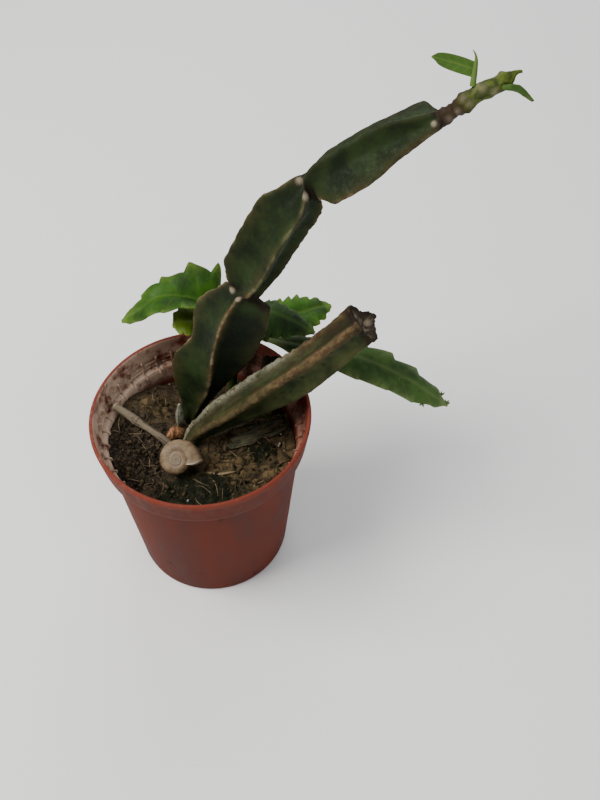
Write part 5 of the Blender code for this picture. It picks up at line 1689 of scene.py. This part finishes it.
# Painted shade inside the mouth: its rows get darker inwards, through the seam mask.
inside_mouth = np.concatenate([np.zeros(len(turn)), np.linspace(0.1, 1.0, 12)])[:, None] + 0 * seam
lip = np.exp(-(turn_all / 0.07) ** 2) * (1.0 - inside_mouth) + 0 * seam
add_piece("shell", points, faces, bone, ["snail_shell"],
          {"spire": early, "seam": spread(np.clip(seam + inside_mouth, 0, 1)), "lip": spread(lip)})

# %% [markdown]
# ## Twig, sprout, husk and withered strips
# The dry bits round the shell are rods and curled scraps. The twig is a slightly crooked rod with
# one old knot, grooves along its grain and a paler broken end that leans on the wall of the pot.

# %% Twig
wood = Finish("dry grey twig", Specular_IOR_Level=0.25)
fibres = wood.both(wood.mark("grain"), wood.grain(0.8, 3.0, 0.6), "ADD")
blotch = wood.grain(5.0, 3.0)
ash = wood.mottle(fibres, 0.78, 1.22, shade(48, 40, 30), shade(148, 134, 112))
ash = wood.layer(wood.window(blotch, 0.5, 0.7, end=0.5), ash, shade(104, 92, 78))
wood.paint(wood.layer(wood.mark("end"), ash, shade(160, 146, 122)))
wood.dull(fibres, 0.65, 0.9)
wood.relief(fibres, 0.25)

low = np.array([-13.5, -2.5, float(soil_height(-13.5, -2.5)) + 2.2])
high = np.array([-38.2, 10.2, 80.0])
stops = np.linspace(0, 1, 7)
knots = [blend(low, high, k) + (0, 0, 0.7 * math.sin(math.pi * k) + 0.35 * math.sin(9.0 * k))
         for k in stops]
radii = [(1.45 + 0.3 * k) * (1.12 if i == 4 else 1.0) for i, k in enumerate(stops)]
rows, share_along = rod(knots, radii, 28, 0.3)
centre = rows.mean(1, keepdims=True)
angle = round_angles(28)
unrolled = np.broadcast_arrays(3.4 * np.cos(angle), 3.4 * np.sin(angle), 5.0 * share_along[:, None])
creases = rough(np.stack(unrolled, -1), 1.3, 148)
knot_ring = np.exp(-((share_along - 0.62) / 0.012) ** 2)[:, None]
height = 0.16 * creases + 0.10 * rough(rows, 2.0, 150) + 0.22 * knot_ring
rows += from_middle(rows) * height[..., None]
ends = np.minimum(ease(share_along / 0.03), ease((1 - share_along) / 0.03))[:, None, None]
rows = centre + (rows - centre) * (0.55 + 0.45 * ends)
points, faces = skin(rows)
add_piece("dry_twig", points, faces, wood, ["twig"],
          {"end": spread(ease((share_along - 0.955) / 0.03)[:, None] + 0 * rows[..., 0]),
           "grain": spread(np.clip(0.55 + 0.6 * creases, 0, 1))})

# %% [markdown]
# In front of the stems stands a small grey bud, perhaps a new shoot that dried up. It is a rod
# that swells in the middle, with five flutes.

# %% Sprout
grey = Finish("grey sprout", Specular_IOR_Level=0.3)
ridge = grey.grain(0.8, 3.0, 0.6, (1.0, 1.0, 6.0))
grey.paint(grey.mottle(ridge, 0.36, 0.62, shade(72, 72, 58), shade(138, 138, 118)))
grey.dull(ridge, 0.6, 0.85)
grey.relief(ridge, 0.2)
x, y = -11.2, 8.4
z = float(soil_height(x, y))
knots = [(x, y, z - 8), (x, y, z + 1), (x + 0.2, y, z + 3.5), (x + 0.5, y, z + 7),
         (x + 0.9, y, z + 11), (x + 1.2, y, z + 15)]
rows, _ = rod(knots, [0.9, 1.0, 1.4, 1.75, 1.4, 0.4], 20, 0.3)
flutes = np.sin(round_angles(20) * 5)
rows += from_middle(rows) * (0.12 * flutes + 0.08 * rough(rows, 1.2, 155))[..., None]
points, faces = skin(rows)
add_piece("grey_sprout", points, faces, grey, ["sprout"])

# %% [markdown]
# The husk beside the stems is the papery orange-brown cover of an old bud. It starts as an
# egg-shaped lump, is pinched in the middle and then crumpled by strong noise that is drawn out
# upwards, which gives it upright folds.

# %% Husk
papery = Finish("dry husk", Specular_IOR_Level=0.25)
folds = papery.grain(1.2, 4.0, 0.65, (1.0, 1.0, 3.0))
rusty = papery.mottle(folds, 0.34, 0.66, shade(82, 52, 33), shade(164, 118, 80))
faded = papery.window(papery.grain(4.0), 0.5, 0.7, end=0.6)
papery.paint(papery.layer(faded, rusty, shade(126, 92, 62)))
papery.dull(folds, 0.7, 0.95)
papery.relief(folds, 0.4)
a, b = np.linspace(-1, 1, 46)[:, None], round_angles(40)[None, :]
girth = np.sqrt(np.clip(1 - a ** 2, 0.0004, 1))
rise = girth * np.sin(b)
long, deep = 4.1 * a * (1.0 - 0.45 * rise), 1.9 * girth * np.cos(b) + 0.5 * rise
rows = np.stack([long, deep, 3.4 * rise], -1)
rows[..., 1] += 0.7 * np.exp(-rows[..., 0] ** 2) * (np.cos(b) < 0)
rows += 0.62 * rough(rows * (1.0, 1.0, 0.40), 2.6, 160)[..., None] * np.array([0.5, 0.9, 0.4])
aside = math.radians(-20.0)
rows = rows @ np.array([[math.cos(aside), -math.sin(aside), 0],
                        [math.sin(aside), math.cos(aside), 0], [0, 0, 1.0]])
box_low, box_high = (np.array(corner) * 1000.0 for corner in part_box("husk"))
rows += (box_low + box_high) / 2 - (rows.reshape(-1, 3).min(0) + rows.reshape(-1, 3).max(0)) / 2
points, faces = skin(rows)
add_piece("dry_husk", points, faces, papery, ["husk"])

# %% [markdown]
# Under the cut stem lie shrivelled strips and scraps of older stems, grey-brown with pale ragged
# edges. Two of them have solids of their own, and three more scraps fill the ground between. All
# are flat rods that narrow and widen, creased along their run.

# %% Withered finish
shrunk = Finish("withered stem", Specular_IOR_Level=0.3)
wrinkle = shrunk.grain(1.1, 4.0, 0.65, (4.0, 4.0, 1.0))
tone = shrunk.mottle(wrinkle, 0.36, 0.64, shade(34, 34, 24), shade(86, 84, 60))
tone = shrunk.layer(shrunk.window(shrunk.grain(5.0), 0.45, 0.65, end=0.7), tone, shade(74, 66, 44))
pale_rim = shrunk.both(shrunk.mark("rim"), shrunk.window(wrinkle, 0.3, 0.6, 0.3, 1.0))
shrunk.paint(shrunk.layer(pale_rim, tone, shade(150, 146, 120)))
shrunk.dull(wrinkle, 0.6, 0.9)
shrunk.relief(wrinkle, 0.3)
print("withered finish:", len(shrunk.tree.nodes), "nodes")

# %% [markdown]
# A strip follows the ground under it. Its section is flat with a wavy top, and the rim mask marks
# the two thin edges.

# %% Withered strips and scraps
STRIPS = (("withered_strip_1", ((3.0, 4.4), (8.6, 8.2), (14.4, 11.8), (20.0, 14.4))),
          ("withered_strip_2", ((11.0, 2.4), (18.0, 4.4), (26.0, 8.4), (33.0, 12.6))))
SCRAPS = (((9.0, -1.0), (14.0, 0.4), (19.0, 1.6), (24.0, 4.2)),
          ((24.0, 4.6), (28.5, 6.6), (33.0, 9.4), (36.0, 12.0)),
          ((18.0, 8.8), (24.0, 11.2), (29.0, 13.0), (33.0, 16.0)))
STRIP_ROWS = 90
strip_angle = round_angles(32)


def crinkled(run, wide, high, lift, seed):
    """Rows of a shrivelled strip along the ground."""
    path = smooth_path([(x, y, float(soil_height(x, y)) + lift) for x, y in run])
    t = np.linspace(0, 1, STRIP_ROWS)
    centre, along = walk(path, t * lengths(path)[-1], 0.8)
    right, front = axes(along, np.array([0.0, 0.0, 1.0]))
    wide = wide * (0.45 + 0.55 * np.sin(math.pi * t)) * (1.0 + 0.18 * np.sin(11.0 * t))
    thick = high * (0.85 * np.sin(strip_angle) + 0.35 * np.cos(strip_angle * 4 + 1.0))
    rows = (centre[:, None] + right[:, None] * (wide[:, None] * np.cos(strip_angle))[..., None]
            + front[:, None] * thick[None, :, None])
    return rows + front[:, None] * (0.30 * rough(rows, 2.0, seed))[..., None]


rim = spread(np.abs(np.cos(strip_angle)) ** 24 + np.zeros((STRIP_ROWS, 1)))
for number, (name, run) in enumerate(STRIPS):
    points, faces = skin(crinkled(run, 2.1, 1.0, 1.7, 170 + number))
    add_piece(name + "_dressed", points, faces, shrunk, [name], {"rim": rim})
scraps = [skin(crinkled(run, 1.5, 0.7, 0.9, 180 + k)) for k, run in enumerate(SCRAPS)]
points, faces = gather(scraps)
add_piece("withered_scraps", points, faces, shrunk, masks={"rim": np.tile(rim, len(SCRAPS))})

# %% [markdown]
# ## The size
# The dressed plant has to fill the same box as the solids. Both boxes are printed side by side,
# so that they can be compared. Every piece was tied to its body when it was made.

# %% Sizes and finish
shown_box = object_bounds()
for corner_a, corner_b in zip(solid_box, shown_box):
    print([round(1000 * c, 1) for c in corner_a], [round(1000 * c, 1) for c in corner_b])
